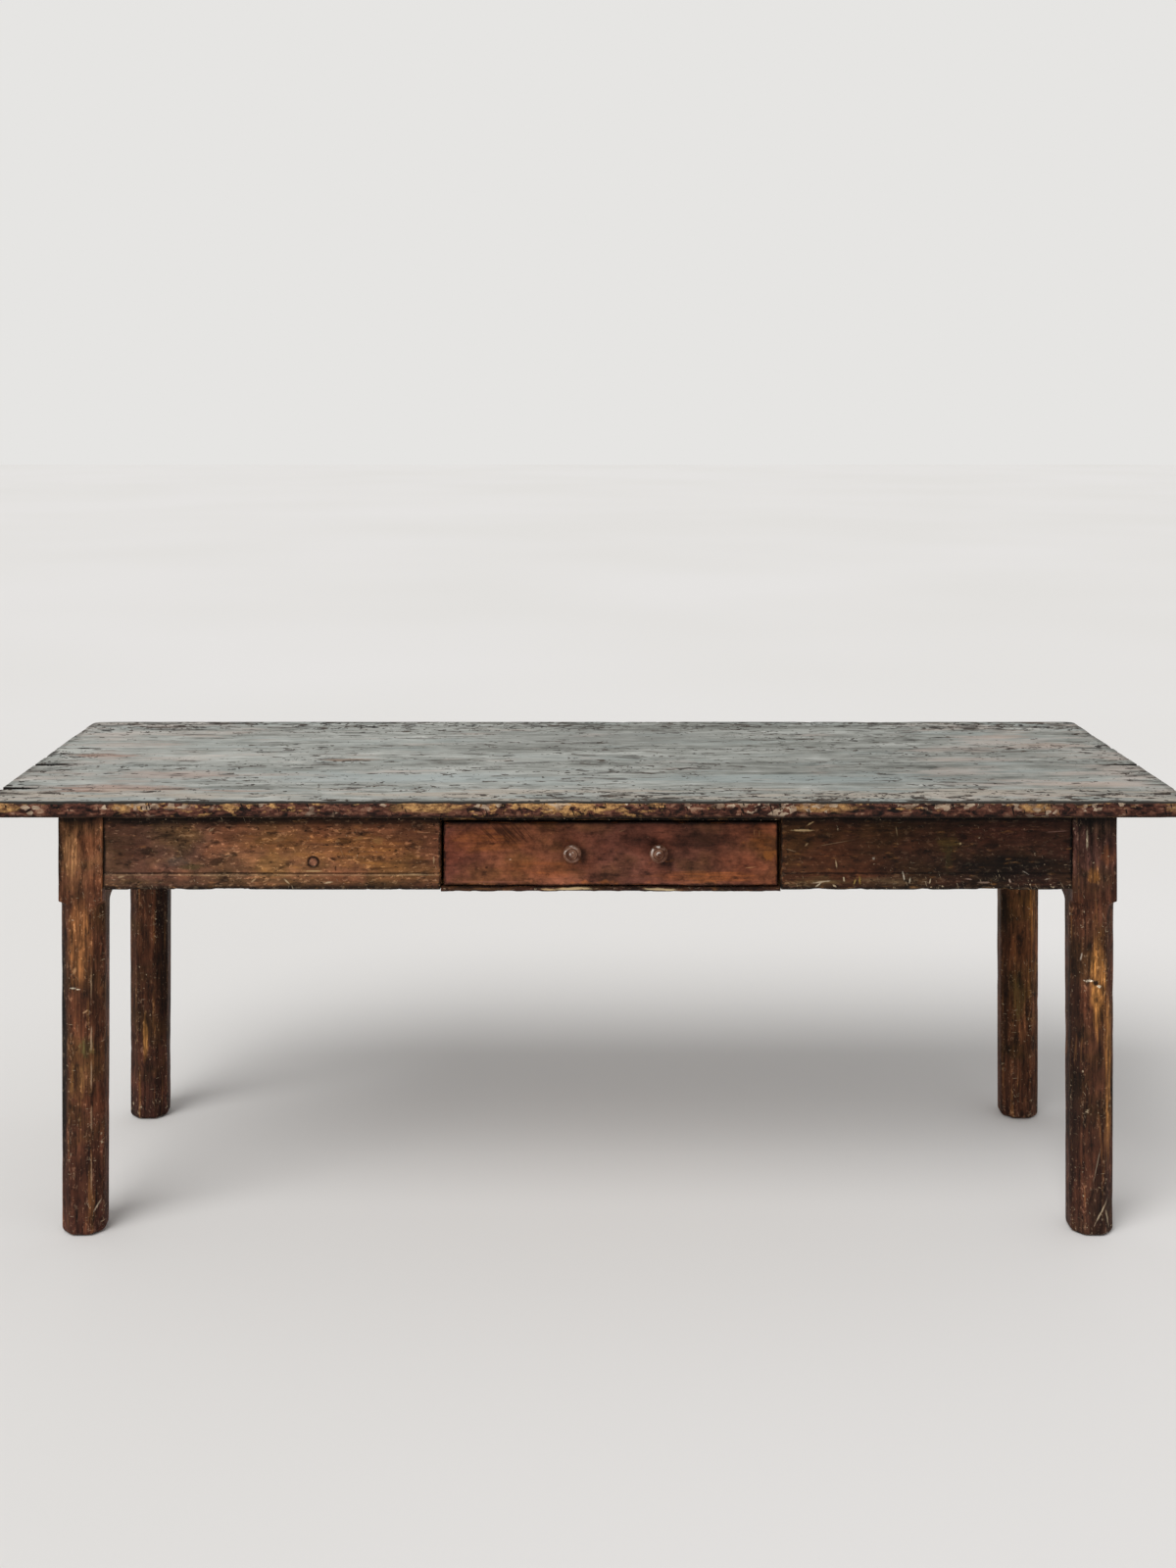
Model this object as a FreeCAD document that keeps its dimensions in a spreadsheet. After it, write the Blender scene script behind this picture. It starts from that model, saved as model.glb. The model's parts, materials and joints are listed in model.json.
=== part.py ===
"""Farmhouse table with a plank top, stop-chamfered legs and one drawer.

Millimetres. +Z is up, the origin is on the floor under the middle of the top, and the drawer
opens towards -Y. Every driving size is a cell of the sheet named sizes.
"""
import FreeCAD
import Part
import Sketcher
import os

from FreeCAD import Placement, Rotation, Vector

SIZES = {
    "table_height": 775,
    "top_length": 2060,
    "top_thickness": 27,
    "front_board_width": 110,
    "second_board_width": 197,
    "middle_board_width": 150,
    "fourth_board_width": 225,
    "back_board_width": 58,
    "top_corner_radius": 20,
    "top_edge_round": 5,
    "end_overhang": 108,
    "side_overhang": 80,
    "tongue_width": 24,
    "tongue_thickness": 8,
    "tongue_stop": 45,
    "tongue_slack": 0.2,
    "leg_size": 78,
    "leg_chamfer": 20.5,
    "leg_block_drop": 19,
    "leg_stop_radius": 12,
    "foot_round": 6,
    "apron_height": 145,
    "apron_thickness": 26,
    "apron_setback": 4,
    "bead_line_height": 29,
    "bead_line_width": 3,
    "bead_line_depth": 2,
    "tenon_length": 45,
    "tenon_thickness": 10,
    "tenon_top_shoulder": 25,
    "tenon_bottom_shoulder": 12,
    "mortise_slack": 0.2,
    "mortise_end_slack": 2,
    "peg_diameter": 9,
    "peg_length": 42,
    "peg_slack": 0.1,
    "peg_from_shoulder": 17,
    "peg_from_tenon_edge": 24,
    "drawer_offset": 40,
    "opening_width": 592,
    "top_rail_height": 24,
    "bottom_rail_height": 8,
    "bottom_rail_drop": 3,
    "rail_lap": 40,
    "rail_lap_slack": 0.1,
    "plug_diameter": 20,
    "plug_depth": 12,
    "plug_height": 49,
    "plug_from_opening": 222,
    "bearer_thickness": 26,
    "bearer_housing": 6,
    "bearer_slack": 0.1,
    "runner_thickness": 9,
    "runner_reach": 30,
    "kicker_reach": 20,
    "stop_depth": 12,
    "stop_width": 30,
    "stop_height": 40,
    "batten_width": 60,
    "batten_thickness": 24,
    "batten_from_leg": 240,
    "batten_end_gap": 10,
    "drawer_side_gap": 5,
    "drawer_top_gap": 2,
    "drawer_run_gap": 0.3,
    "drawer_front_gap": 1.5,
    "drawer_setback": 1,
    "drawer_front_thickness": 22,
    "drawer_front_round": 2.5,
    "drawer_side_thickness": 13,
    "drawer_side_drop": 3,
    "drawer_back_thickness": 13,
    "drawer_back_inset": 12,
    "drawer_back_drop": 12,
    "drawer_dado": 4,
    "drawer_bottom_thickness": 8,
    "drawer_bottom_height": 11,
    "drawer_groove": 6,
    "drawer_slack": 0.15,
    "tail_length": 15,
    "tail_flare": 3,
    "pin_width": 9,
    "knob_diameter": 32,
    "knob_projection": 28,
    "knob_collar_diameter": 22,
    "knob_collar_height": 3,
    "knob_neck_diameter": 17,
    "knob_neck_length": 3,
    "knob_rim_drop": 1.5,
    "knob_face_diameter": 20,
    "knob_button_diameter": 12,
    "knob_button_rise": 3,
    "knob_spigot_diameter": 14,
    "knob_spacing": 150,
    "knob_offset": 8,
    "knob_rise": 5,
    "wedge_thickness": 2.5,
    "wedge_tip": 1,
    "wedge_length": 12,
    "wedge_slack": 0.1,
    "nail_head_diameter": 9,
    "nail_head_height": 1.6,
    "nail_sink": 0.4,
    "nail_shank_diameter": 4,
    "nail_length": 62,
    "nail_slack": 0.1,
    "nail_edge_inset": 24,
    "nail_from_end": 70,
    "nail_from_face": 8,
    "small_nail_length": 40,
    "small_nail_head_diameter": 7,
    "small_nail_shank_diameter": 3,
    "runner_nail_inset": 70,
    "panel_nail_length": 24,
    "panel_nail_inset": 60,
}

LEFT, RIGHT = -1, 1
FRONT, BACK = -1, 1
SIDE_WORD = {LEFT: "left", RIGHT: "right"}
END_WORD = {FRONT: "front", BACK: "back"}
TAIL_COUNT = 3
BACK_ROW_NAILS = 6
PANEL_NAILS = 4
LEG_CORNERS = 4
CORNER_TURN = 45
FULL_TURN = 360
SAME_POINT = 1e-4
MAX_NODES = 60

doc = FreeCAD.newDocument("farmhouse_table")
sheet = doc.addObject("Spreadsheet::Sheet", "sizes")
for row, (size_name, size_value) in enumerate(SIZES.items(), start=1):
    sheet.set(f"A{row}", size_name)
    sheet.set(f"B{row}", str(size_value))
    sheet.setAlias(f"B{row}", size_name)
doc.recompute()

sub_parts = []


# Derived lines and planes, as expressions of the sheet

half_length = "(sizes.top_length / 2)"
board_names = ("front", "second", "middle", "fourth", "back")
top_depth = "(" + " + ".join(f"sizes.{name}_board_width" for name in board_names) + ")"
half_depth = f"({top_depth} / 2)"
underside = "(sizes.table_height - sizes.top_thickness)"
top_middle = "(sizes.table_height - sizes.top_thickness / 2)"

leg_out_x = f"({half_length} - sizes.end_overhang)"
leg_in_x = f"({leg_out_x} - sizes.leg_size)"
leg_out_y = f"({half_depth} - sizes.side_overhang)"
leg_in_y = f"({leg_out_y} - sizes.leg_size)"

apron_low = f"({underside} - sizes.apron_height)"
apron_out_x = f"({leg_out_x} - sizes.apron_setback)"
apron_in_x = f"({apron_out_x} - sizes.apron_thickness)"
apron_out_y = f"({leg_out_y} - sizes.apron_setback)"
apron_in_y = f"({apron_out_y} - sizes.apron_thickness)"
cheek = "((sizes.apron_thickness - sizes.tenon_thickness) / 2)"
tenon_low = f"({apron_low} + sizes.tenon_bottom_shoulder)"
tenon_high = f"({underside} - sizes.tenon_top_shoulder)"

opening_left = "(sizes.drawer_offset - sizes.opening_width / 2)"
opening_right = "(sizes.drawer_offset + sizes.opening_width / 2)"
bottom_rail_low = f"({apron_low} - sizes.bottom_rail_drop)"
bottom_rail_high = f"({bottom_rail_low} + sizes.bottom_rail_height)"
top_rail_low = f"({underside} - sizes.top_rail_height)"

runner_top = f"({bottom_rail_high} + sizes.drawer_front_gap - sizes.drawer_run_gap)"
runner_low = f"({runner_top} - sizes.runner_thickness)"

drawer_left = f"({opening_left} + sizes.drawer_side_gap)"
drawer_right = f"({opening_right} - sizes.drawer_side_gap)"
drawer_low = f"({bottom_rail_high} + sizes.drawer_front_gap)"
drawer_high = f"({top_rail_low} - sizes.drawer_top_gap)"
drawer_face_y = f"(-{apron_out_y} + sizes.drawer_setback)"
drawer_front_in_y = f"({drawer_face_y} + sizes.drawer_front_thickness)"
drawer_side_high = f"({drawer_high} - sizes.drawer_side_drop)"
stop_face_y = f"({apron_in_y} - sizes.stop_depth)"
drawer_end_y = f"({stop_face_y} - sizes.drawer_run_gap)"
drawer_back_out_y = f"({drawer_end_y} - sizes.drawer_back_inset)"
drawer_back_in_y = f"({drawer_back_out_y} - sizes.drawer_back_thickness)"
panel_low = f"({drawer_low} + sizes.drawer_bottom_height)"
panel_high = f"({panel_low} + sizes.drawer_bottom_thickness)"
drawer_middle = f"(({drawer_low} + {drawer_high}) / 2)"
knob_level = f"({drawer_middle} + sizes.knob_rise)"


# Small tools for making objects

def value(expression):
    """Return an expression's present number."""
    return float(sheet.evalExpression(expression))


def span(side, inner, outer):
    """Return (low, high) of a stretch on the + side, or its mirror image on the - side."""
    if side > 0:
        return inner, outer
    return f"-({outer})", f"-({inner})"


def widened(stretch, amount):
    """Return a stretch made longer by amount at both ends."""
    low, high = stretch
    return f"({low}) - {amount}", f"({high}) + {amount}"


def box(name, x, y, z):
    """Return a Part::Box over three (low, high) stretches."""
    piece = doc.addObject("Part::Box", name)
    for size, axis, (low, high) in zip(("Length", "Width", "Height"), "xyz", (x, y, z)):
        piece.setExpression(size, f"({high}) - ({low})")
        piece.setExpression(f"Placement.Base.{axis}", low)
    return piece


ROD_TURN = {
    "x": Rotation(Vector(0, 1, 0), 90),
    "y": Rotation(Vector(1, 0, 0), -90),
    "z": Rotation(),
}


def rod(name, axis, diameter, x, y, z):
    """Return a Part::Cylinder; the place along its axis is a (low, high) stretch."""
    piece = doc.addObject("Part::Cylinder", name)
    piece.Placement = Placement(Vector(), ROD_TURN[axis])
    piece.setExpression("Radius", f"({diameter}) / 2")
    for letter, place in zip("xyz", (x, y, z)):
        if letter == axis:
            low, high = place
            piece.setExpression("Height", f"({high}) - ({low})")
            piece.setExpression(f"Placement.Base.{letter}", low)
        else:
            piece.setExpression(f"Placement.Base.{letter}", place)
    return piece


def tail(name, x, y, z, flare, wide_at_low_y=True):
    """Return a dovetail: a box whose height narrows by flare, top and bottom, along Y."""
    piece = doc.addObject("Part::Wedge", name)
    narrow = (f"({z[0]}) + {flare}", f"({z[1]}) - {flare}")
    low_end, high_end = (z, narrow) if wide_at_low_y else (narrow, z)
    ends = {
        "Xmin": x[0], "Xmax": x[1], "X2min": x[0], "X2max": x[1],
        "Ymin": y[0], "Ymax": y[1],
        "Zmin": low_end[0], "Zmax": low_end[1], "Z2min": high_end[0], "Z2max": high_end[1],
    }
    for prop, expression in ends.items():
        setattr(piece, prop, value(expression))
        piece.setExpression(prop, expression)
    return piece


def compound(name, pieces):
    """Return the pieces as one group of separate solids."""
    group = doc.addObject("Part::Compound", name)
    group.Links = pieces
    return group


def fused(name, pieces):
    """Return the pieces joined into one solid."""
    whole = doc.addObject("Part::MultiFuse", name)
    whole.Shapes = pieces
    whole.Refine = True
    return whole


def cut(name, base, tools):
    """Return base with each of the tools taken out of it."""
    result = base
    for number, tool in enumerate(tools, start=1):
        last = number == len(tools)
        step = doc.addObject("Part::Cut", name if last else f"{name}_cut_{number}")
        step.Base = result
        step.Tool = tool
        step.Refine = True
        result = step
    return result


def finish(label, piece):
    """Register an object as the sub-part that its label names."""
    piece.Label = label
    sub_parts.append(piece)
    return piece


def new_body(name, x, y, z):
    """Return a PartDesign body whose own origin lies at x, y, z."""
    body = doc.addObject("PartDesign::Body", name)
    for axis, place in zip("xyz", (x, y, z)):
        body.setExpression(f".Placement.Base.{axis}", place)
    return body


def origin_feature(body, role):
    """Return one of a body's own origin planes or axes."""
    return next(item for item in body.Origin.OriginFeatures if item.Role == role)


def arc_between(start, end, radius):
    """Return an arc from start to end; a positive radius curves to the left of the way."""
    way = end - start
    across = Vector(-way.y, way.x, 0).normalize()
    rise = (radius * radius - way.Length * way.Length / 4) ** 0.5
    centre = (start + end) * 0.5 + across * (rise if radius > 0 else -rise)
    circle = Part.Circle(centre, Vector(0, 0, 1), abs(radius))
    ends = (start, end) if radius > 0 else (end, start)
    return Part.ArcOfCircle(circle, circle.parameter(ends[0]), circle.parameter(ends[1]))


def outline(body, name, plane, corners, turn=0):
    """Return a closed sketch on one of a body's planes.

    corners are (x, y) or (x, y, radius) expressions; a radius bends the side that starts
    there. turn swings the plane about its own upright axis, in degrees.
    """
    sketch = body.newObject("Sketcher::SketchObject", name)
    sketch.AttachmentSupport = [(origin_feature(body, plane), "")]
    sketch.MapMode = "FlatFace"
    sketch.AttachmentOffset = Placement(Vector(), Rotation(Vector(0, 1, 0), turn))
    level_axis, upright_axis, sketch_origin = -1, -2, (-1, 1)
    points = [Vector(value(corner[0]), value(corner[1]), 0) for corner in corners]
    starts, ends, bends = [], [], []
    for index, corner in enumerate(corners):
        begin, arrive = points[index], points[(index + 1) % len(points)]
        if len(corner) == 3:
            radius = value(corner[2])
            line = sketch.addGeometry(arc_between(begin, arrive, radius), False)
            bends.append((line, f"abs({corner[2]})"))
            order = (1, 2) if radius > 0 else (2, 1)
        else:
            line = sketch.addGeometry(Part.LineSegment(begin, arrive), False)
            order = (1, 2)
        starts.append((line, order[0]))
        ends.append((line, order[1]))
    for index, (line, point) in enumerate(starts):
        sketch.addConstraint(Sketcher.Constraint("Coincident", *ends[index - 1], line, point))
        across, up = corners[index][:2]
        for kind, axis_line, place in (("DistanceX", upright_axis, across), ("DistanceY", level_axis, up)):
            number = value(place)
            if abs(number) < SAME_POINT:
                sketch.addConstraint(Sketcher.Constraint("PointOnObject", line, point, axis_line))
                continue
            constraint = sketch.addConstraint(Sketcher.Constraint(kind, *sketch_origin, line, point, number))
            sketch.setExpression(f"Constraints[{constraint}]", place)
    for line, radius in bends:
        constraint = sketch.addConstraint(Sketcher.Constraint("Radius", line, value(radius)))
        sketch.setExpression(f"Constraints[{constraint}]", radius)
    return sketch


def pad(body, name, sketch, length, reversed_way=False):
    """Add a pad of a sketch to a body."""
    feature = body.newObject("PartDesign::Pad", name)
    feature.Profile = sketch
    feature.setExpression("Length", length)
    feature.Reversed = reversed_way
    doc.recompute()
    return feature


def rounded(body, name, base, radius, chosen):
    """Round each edge of a feature that the test chosen picks by the edge's bounds."""
    doc.recompute()
    edges = enumerate(base.Shape.Edges, start=1)
    names = [f"Edge{number}" for number, edge in edges if chosen(edge.BoundBox)]
    feature = body.newObject("PartDesign::Fillet", name)
    feature.Base = (base, names)
    feature.setExpression("Radius", radius)
    doc.recompute()
    return feature


def near(one, other):
    """Tell whether two lengths are the same."""
    return abs(one - other) < SAME_POINT


# Nails: each call makes a group of nails and the matching group of holes

def ordered(way, start, end):
    """Return (low, high) of a stretch that runs up from start, or down from it."""
    return (start, end) if way > 0 else (end, start)


def nails(label, places, head, shank, length):
    """Return (nails, holes) for places (x, y, z of the wood's face, way of the point).

    A nail's head lies nail_sink below that face, and its hole starts at the face.
    """
    solids, holes = [], []
    for number, (x, y, z, way) in enumerate(places, start=1):
        name = f"{label}_{number}"
        sunk = f"({z}) + {way} * sizes.nail_sink"
        seat = f"({z}) + {way} * (sizes.nail_sink + sizes.nail_head_height)"
        tip = f"({z}) + {way} * {length}"
        hole_end = f"({tip}) + {way} * sizes.nail_slack"
        solids.append(fused(name, [
            rod(f"{name}_head", "z", head, x, y, ordered(way, sunk, seat)),
            rod(f"{name}_shank", "z", shank, x, y, ordered(way, seat, tip)),
        ]))
        head_hole = f"{head} + 2 * sizes.nail_slack"
        shank_hole = f"{shank} + 2 * sizes.nail_slack"
        holes.append(rod(f"{name}_sinking", "z", head_hole, x, y, ordered(way, z, seat)))
        holes.append(rod(f"{name}_hole", "z", shank_hole, x, y, ordered(way, seat, hole_end)))
    return compound(label, solids), compound(f"{label}_holes", holes)


# Where the top's boards meet, from front to back

board_edges = [f"-{half_depth}"]
for board_name in board_names:
    board_edges.append(f"({board_edges[-1]} + sizes.{board_name}_board_width)")
framed_spans = [
    (f"-{leg_in_y}", board_edges[2]),
    (board_edges[2], board_edges[3]),
    (board_edges[3], leg_in_y),
]


def pairs_per_board():
    """Return the places across the frame where each inner board has a pair of nails."""
    places = []
    for low, high in framed_spans:
        places += [f"{low} + sizes.nail_edge_inset", f"{high} - sizes.nail_edge_inset"]
    return places


# Top nails: into the front apron boards, along the back apron, and two per board at each end

nail_row_y = f"({apron_out_y} - sizes.nail_from_face)"
apron_centre_x = f"({apron_out_x} - sizes.apron_thickness / 2)"
row_start = f"(-{leg_in_x} + sizes.nail_from_end)"
row_pitch = f"(2 * ({leg_in_x} - sizes.nail_from_end) / {BACK_ROW_NAILS - 1})"
top_nail_spots = [(f"{row_start} + {number} * {row_pitch}", nail_row_y) for number in range(BACK_ROW_NAILS)]
for row_x in (row_start, f"{opening_left} - sizes.nail_from_end",
              f"{opening_right} + sizes.nail_from_end", f"{leg_in_x} - sizes.nail_from_end"):
    top_nail_spots.append((row_x, f"-{nail_row_y}"))
for side in (LEFT, RIGHT):
    top_nail_spots += [(f"{side} * {apron_centre_x}", place) for place in pairs_per_board()]
top_nails, top_nail_holes = nails(
    "top_nails", [(x, y, "sizes.table_height", -1) for x, y in top_nail_spots],
    "sizes.nail_head_diameter", "sizes.nail_shank_diameter", "sizes.nail_length")
finish("top_nails", top_nails)


# Battens under the boards, nailed from below

batten_low = f"({underside} - sizes.batten_thickness)"
batten_out_x = f"({leg_in_x} - sizes.batten_from_leg)"
batten_end_y = f"({apron_in_y} - sizes.batten_end_gap)"
batten_y = (f"-{batten_end_y}", batten_end_y)
batten_nail_places = [
    (f"{side} * ({batten_out_x} - sizes.batten_width / 2)", place, batten_low, 1)
    for side in (LEFT, RIGHT) for place in pairs_per_board()
]
batten_nails, batten_nail_holes = nails(
    "batten_nails", batten_nail_places,
    "sizes.small_nail_head_diameter", "sizes.small_nail_shank_diameter", "sizes.small_nail_length")
finish("batten_nails", batten_nails)
for side in (LEFT, RIGHT):
    label = f"batten_{SIDE_WORD[side]}"
    batten_x = span(side, f"{batten_out_x} - sizes.batten_width", batten_out_x)
    blank = box(f"{label}_blank", batten_x, batten_y, (batten_low, underside))
    finish(label, cut(label, blank, [batten_nail_holes]))


# Loose tongues along the seams, and their grooves

tongue_x = (f"-{half_length} + sizes.tongue_stop", f"{half_length} - sizes.tongue_stop")
tongue_z = (f"{top_middle} - sizes.tongue_thickness / 2", f"{top_middle} + sizes.tongue_thickness / 2")
grooves = []
for number, seam in enumerate(board_edges[1:-1], start=1):
    label = f"top_tongue_{number}"
    tongue_y = (f"{seam} - sizes.tongue_width / 2", f"{seam} + sizes.tongue_width / 2")
    grooves.append(box(
        f"{label}_groove",
        widened(tongue_x, "sizes.tongue_slack"),
        widened(tongue_y, "sizes.tongue_slack"),
        widened(tongue_z, "sizes.tongue_slack")))
    blank = box(f"{label}_blank", tongue_x, tongue_y, tongue_z)
    finish(label, cut(label, blank, [top_nail_holes, batten_nail_holes]))
groove_set = compound("tongue_grooves", grooves)


# Top boards: the outer two have rounded corners, and every outer arris is eased

def top_board(name, front_edge):
    """Make one board of the top, which starts at front_edge."""
    width = f"sizes.{name}_board_width"
    wide = value(width)
    seams = [place for place, outer in ((0, board_names[0]), (wide, board_names[-1])) if name != outer]
    body = new_body(f"{name}_board_blank", f"-{half_length}", front_edge, underside)
    corners = [("0", "0"), ("sizes.top_length", "0"), ("sizes.top_length", width), ("0", width)]
    plan = outline(body, f"{name}_board_plan", "XY_Plane", corners)
    shape = pad(body, f"{name}_board_pad", plan, "sizes.top_thickness")

    def on_seam(bounds):
        return any(near(bounds.YMin, place) and near(bounds.YMax, place) for place in seams)

    def outer_corner(bounds):
        return near(bounds.XLength, 0) and near(bounds.YLength, 0) and not on_seam(bounds)

    def outer_arris(bounds):
        return near(bounds.ZLength, 0) and not on_seam(bounds)

    if len(seams) == 1:
        shape = rounded(body, f"{name}_board_corners", shape, "sizes.top_corner_radius", outer_corner)
    rounded(body, f"{name}_board_arrises", shape, "sizes.top_edge_round", outer_arris)
    label = f"top_board_{name}"
    finish(label, cut(label, body, [groove_set, top_nail_holes, batten_nail_holes]))


for board_name, board_front in zip(board_names, board_edges):
    top_board(board_name, board_front)


# Tenons, mortises and pegs at the four corners

tenon_z = (tenon_low, tenon_high)
peg_levels = (f"{tenon_low} + sizes.peg_from_tenon_edge", f"{tenon_high} - sizes.peg_from_tenon_edge")
peg_hole = "sizes.peg_diameter + 2 * sizes.peg_slack"
tenons, mortises, pegs, peg_holes = {}, [], [], []
for side in (LEFT, RIGHT):
    for end in (FRONT, BACK):
        corner = f"{END_WORD[end]}_{SIDE_WORD[side]}"
        long_y = span(end, f"{apron_in_y} + {cheek}", f"{apron_out_y} - {cheek}")
        short_x = span(side, f"{apron_in_x} + {cheek}", f"{apron_out_x} - {cheek}")
        tenon_x = span(side, leg_in_x, f"{leg_in_x} + sizes.tenon_length")
        tenon_y = span(end, leg_in_y, f"{leg_in_y} + sizes.tenon_length")
        tenons[side, end, "long"] = box(f"tenon_{corner}_long", tenon_x, long_y, tenon_z)
        tenons[side, end, "short"] = box(f"tenon_{corner}_short", short_x, tenon_y, tenon_z)
        deep_x = span(side, leg_in_x, f"{leg_in_x} + sizes.tenon_length + sizes.mortise_end_slack")
        deep_y = span(end, leg_in_y, f"{leg_in_y} + sizes.tenon_length + sizes.mortise_end_slack")
        room_z = widened(tenon_z, "sizes.mortise_slack")
        room_y = widened(long_y, "sizes.mortise_slack")
        room_x = widened(short_x, "sizes.mortise_slack")
        mortises.append(box(f"mortise_{corner}_long", deep_x, room_y, room_z))
        mortises.append(box(f"mortise_{corner}_short", room_x, deep_y, room_z))
        peg_x = f"{side} * ({leg_in_x} + sizes.peg_from_shoulder)"
        peg_y = f"{end} * ({leg_in_y} + sizes.peg_from_shoulder)"
        peg_run_x = span(side, f"{leg_out_x} - sizes.peg_length", leg_out_x)
        peg_run_y = span(end, f"{leg_out_y} - sizes.peg_length", leg_out_y)
        for number, level in enumerate(peg_levels, start=1):
            name = f"peg_{corner}_{number}"
            for axis, place in (("y", (peg_x, peg_run_y, level)), ("x", (peg_run_x, peg_y, level))):
                pegs.append(rod(f"{name}_along_{axis}", axis, "sizes.peg_diameter", *place))
                peg_holes.append(rod(f"{name}_hole_along_{axis}", axis, peg_hole, *place))
finish("apron_pegs", compound("apron_pegs", pegs))
peg_hole_set = compound("peg_holes", peg_holes)
mortise_set = compound("mortises", mortises)


# Legs

def leg(side, end):
    """Make one leg: a square block on a stop-chamfered octagon, with its mortises."""
    label = f"leg_{END_WORD[end]}_{SIDE_WORD[side]}"
    half = "sizes.leg_size / 2"
    body = new_body(
        f"{label}_blank", f"{side} * ({leg_out_x} - {half})", f"{end} * ({leg_out_y} - {half})", "0")
    square = [(f"-{half}", f"-{half}"), (half, f"-{half}"), (half, half), (f"-{half}", half)]
    pad(body, f"{label}_post", outline(body, f"{label}_square", "XY_Plane", square), underside)
    flat = "((sizes.leg_size - sizes.leg_chamfer) / sqrt(2))"
    stop = f"({apron_low} - sizes.leg_block_drop)"
    profile = [
        (flat, "0"),
        ("sizes.leg_size", "0"),
        ("sizes.leg_size", stop),
        (f"{flat} + sizes.leg_stop_radius", stop, "sizes.leg_stop_radius"),
        (flat, f"{stop} - sizes.leg_stop_radius"),
    ]
    chamfer = body.newObject("PartDesign::Pocket", f"{label}_chamfer")
    chamfer.Profile = outline(body, f"{label}_chamfer_profile", "XZ_Plane", profile, turn=CORNER_TURN)
    chamfer.SideType = "Symmetric"
    chamfer.setExpression("Length", "2 * sizes.leg_size")
    doc.recompute()
    ring = body.newObject("PartDesign::PolarPattern", f"{label}_chamfers")
    ring.Originals = [chamfer]
    ring.Axis = (origin_feature(body, "Z_Axis"), [""])
    ring.Angle = FULL_TURN
    ring.Occurrences = LEG_CORNERS
    body.Tip = ring
    body.Tip = rounded(
        body, f"{label}_foot", ring, "sizes.foot_round",
        lambda bounds: near(bounds.ZMin, 0) and near(bounds.ZMax, 0))
    finish(label, cut(label, body, [mortise_set, peg_hole_set]))


for side in (LEFT, RIGHT):
    for end in (FRONT, BACK):
        leg(side, end)


# Rails over and under the drawer, halved into the backs of the apron boards

front_y = (f"-{apron_out_y}", f"-{apron_in_y}")
lap_x = (f"{opening_left} - sizes.rail_lap", f"{opening_right} + sizes.rail_lap")
lap_y = (f"-{apron_in_y} - sizes.apron_thickness / 2", f"-{apron_in_y}")
lap_seats = []
for word, rail_z in (("over", (top_rail_low, underside)), ("under", (bottom_rail_low, bottom_rail_high))):
    label = f"rail_{word}_drawer"
    face = box(f"{label}_face", (opening_left, opening_right), front_y, rail_z)
    laps = box(f"{label}_laps", lap_x, lap_y, rail_z)
    finish(label, fused(label, [face, laps]))
    lap_seats.append(box(
        f"{label}_seat",
        widened(lap_x, "sizes.rail_lap_slack"),
        widened(lap_y, "sizes.rail_lap_slack"),
        widened(rail_z, "sizes.rail_lap_slack")))
lap_seat_set = compound("rail_lap_seats", lap_seats)


# Bearers either side of the drawer, with a runner under and a kicker over each

between_y = (f"-{apron_in_y}", apron_in_y)
bearer_y = widened(between_y, "sizes.bearer_housing")
bearer_z = (runner_top, top_rail_low)
runner_nail_places = [
    (f"{inner} + {side} * sizes.bearer_thickness / 2",
     f"{end} * ({apron_in_y} - sizes.runner_nail_inset)", runner_low, 1)
    for side, inner in ((LEFT, opening_left), (RIGHT, opening_right)) for end in (FRONT, BACK)
]
runner_nails, runner_nail_holes = nails(
    "runner_nails", runner_nail_places,
    "sizes.small_nail_head_diameter", "sizes.small_nail_shank_diameter", "sizes.small_nail_length")
finish("runner_nails", runner_nails)
housings = []
for side, inner in ((LEFT, opening_left), (RIGHT, opening_right)):
    word = SIDE_WORD[side]
    outer = f"({inner} + {side} * sizes.bearer_thickness)"
    bearer_x = ordered(side, inner, outer)
    runner_x = ordered(side, f"{inner} - {side} * sizes.runner_reach", outer)
    kicker_x = ordered(side, f"{inner} - {side} * sizes.kicker_reach", outer)
    bearer = box(f"bearer_{word}_blank", bearer_x, bearer_y, bearer_z)
    runner = box(f"runner_{word}_blank", runner_x, between_y, (runner_low, runner_top))
    finish(f"bearer_{word}", cut(f"bearer_{word}", bearer, [runner_nail_holes]))
    finish(f"runner_{word}", cut(f"runner_{word}", runner, [runner_nail_holes]))
    finish(f"kicker_{word}", box(f"kicker_{word}", kicker_x, between_y, (top_rail_low, underside)))
    housings.append(box(
        f"bearer_housing_{word}",
        widened(bearer_x, "sizes.bearer_slack"),
        widened(bearer_y, "sizes.bearer_slack"),
        widened(bearer_z, "sizes.bearer_slack")))
housing_set = compound("bearer_housings", housings)


# Stop blocks on the inside of the back apron, behind the drawer sides

stop_z = (f"{drawer_middle} - sizes.stop_height / 2", f"{drawer_middle} + sizes.stop_height / 2")
for side, edge in ((LEFT, drawer_left), (RIGHT, drawer_right)):
    label = f"drawer_stop_{SIDE_WORD[side]}"
    stop_x = ordered(-side, edge, f"{edge} - {side} * sizes.stop_width")
    finish(label, box(label, stop_x, (stop_face_y, apron_in_y), stop_z))


# Aprons

apron_z = (apron_low, underside)
line_z = (f"{apron_low} + sizes.bead_line_height - sizes.bead_line_width / 2",
          f"{apron_low} + sizes.bead_line_height + sizes.bead_line_width / 2")
line_y = (front_y[0], f"{front_y[0]} + sizes.bead_line_depth")
bead_line = box("bead_line", (f"-{leg_in_x}", leg_in_x), line_y, line_z)

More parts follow.
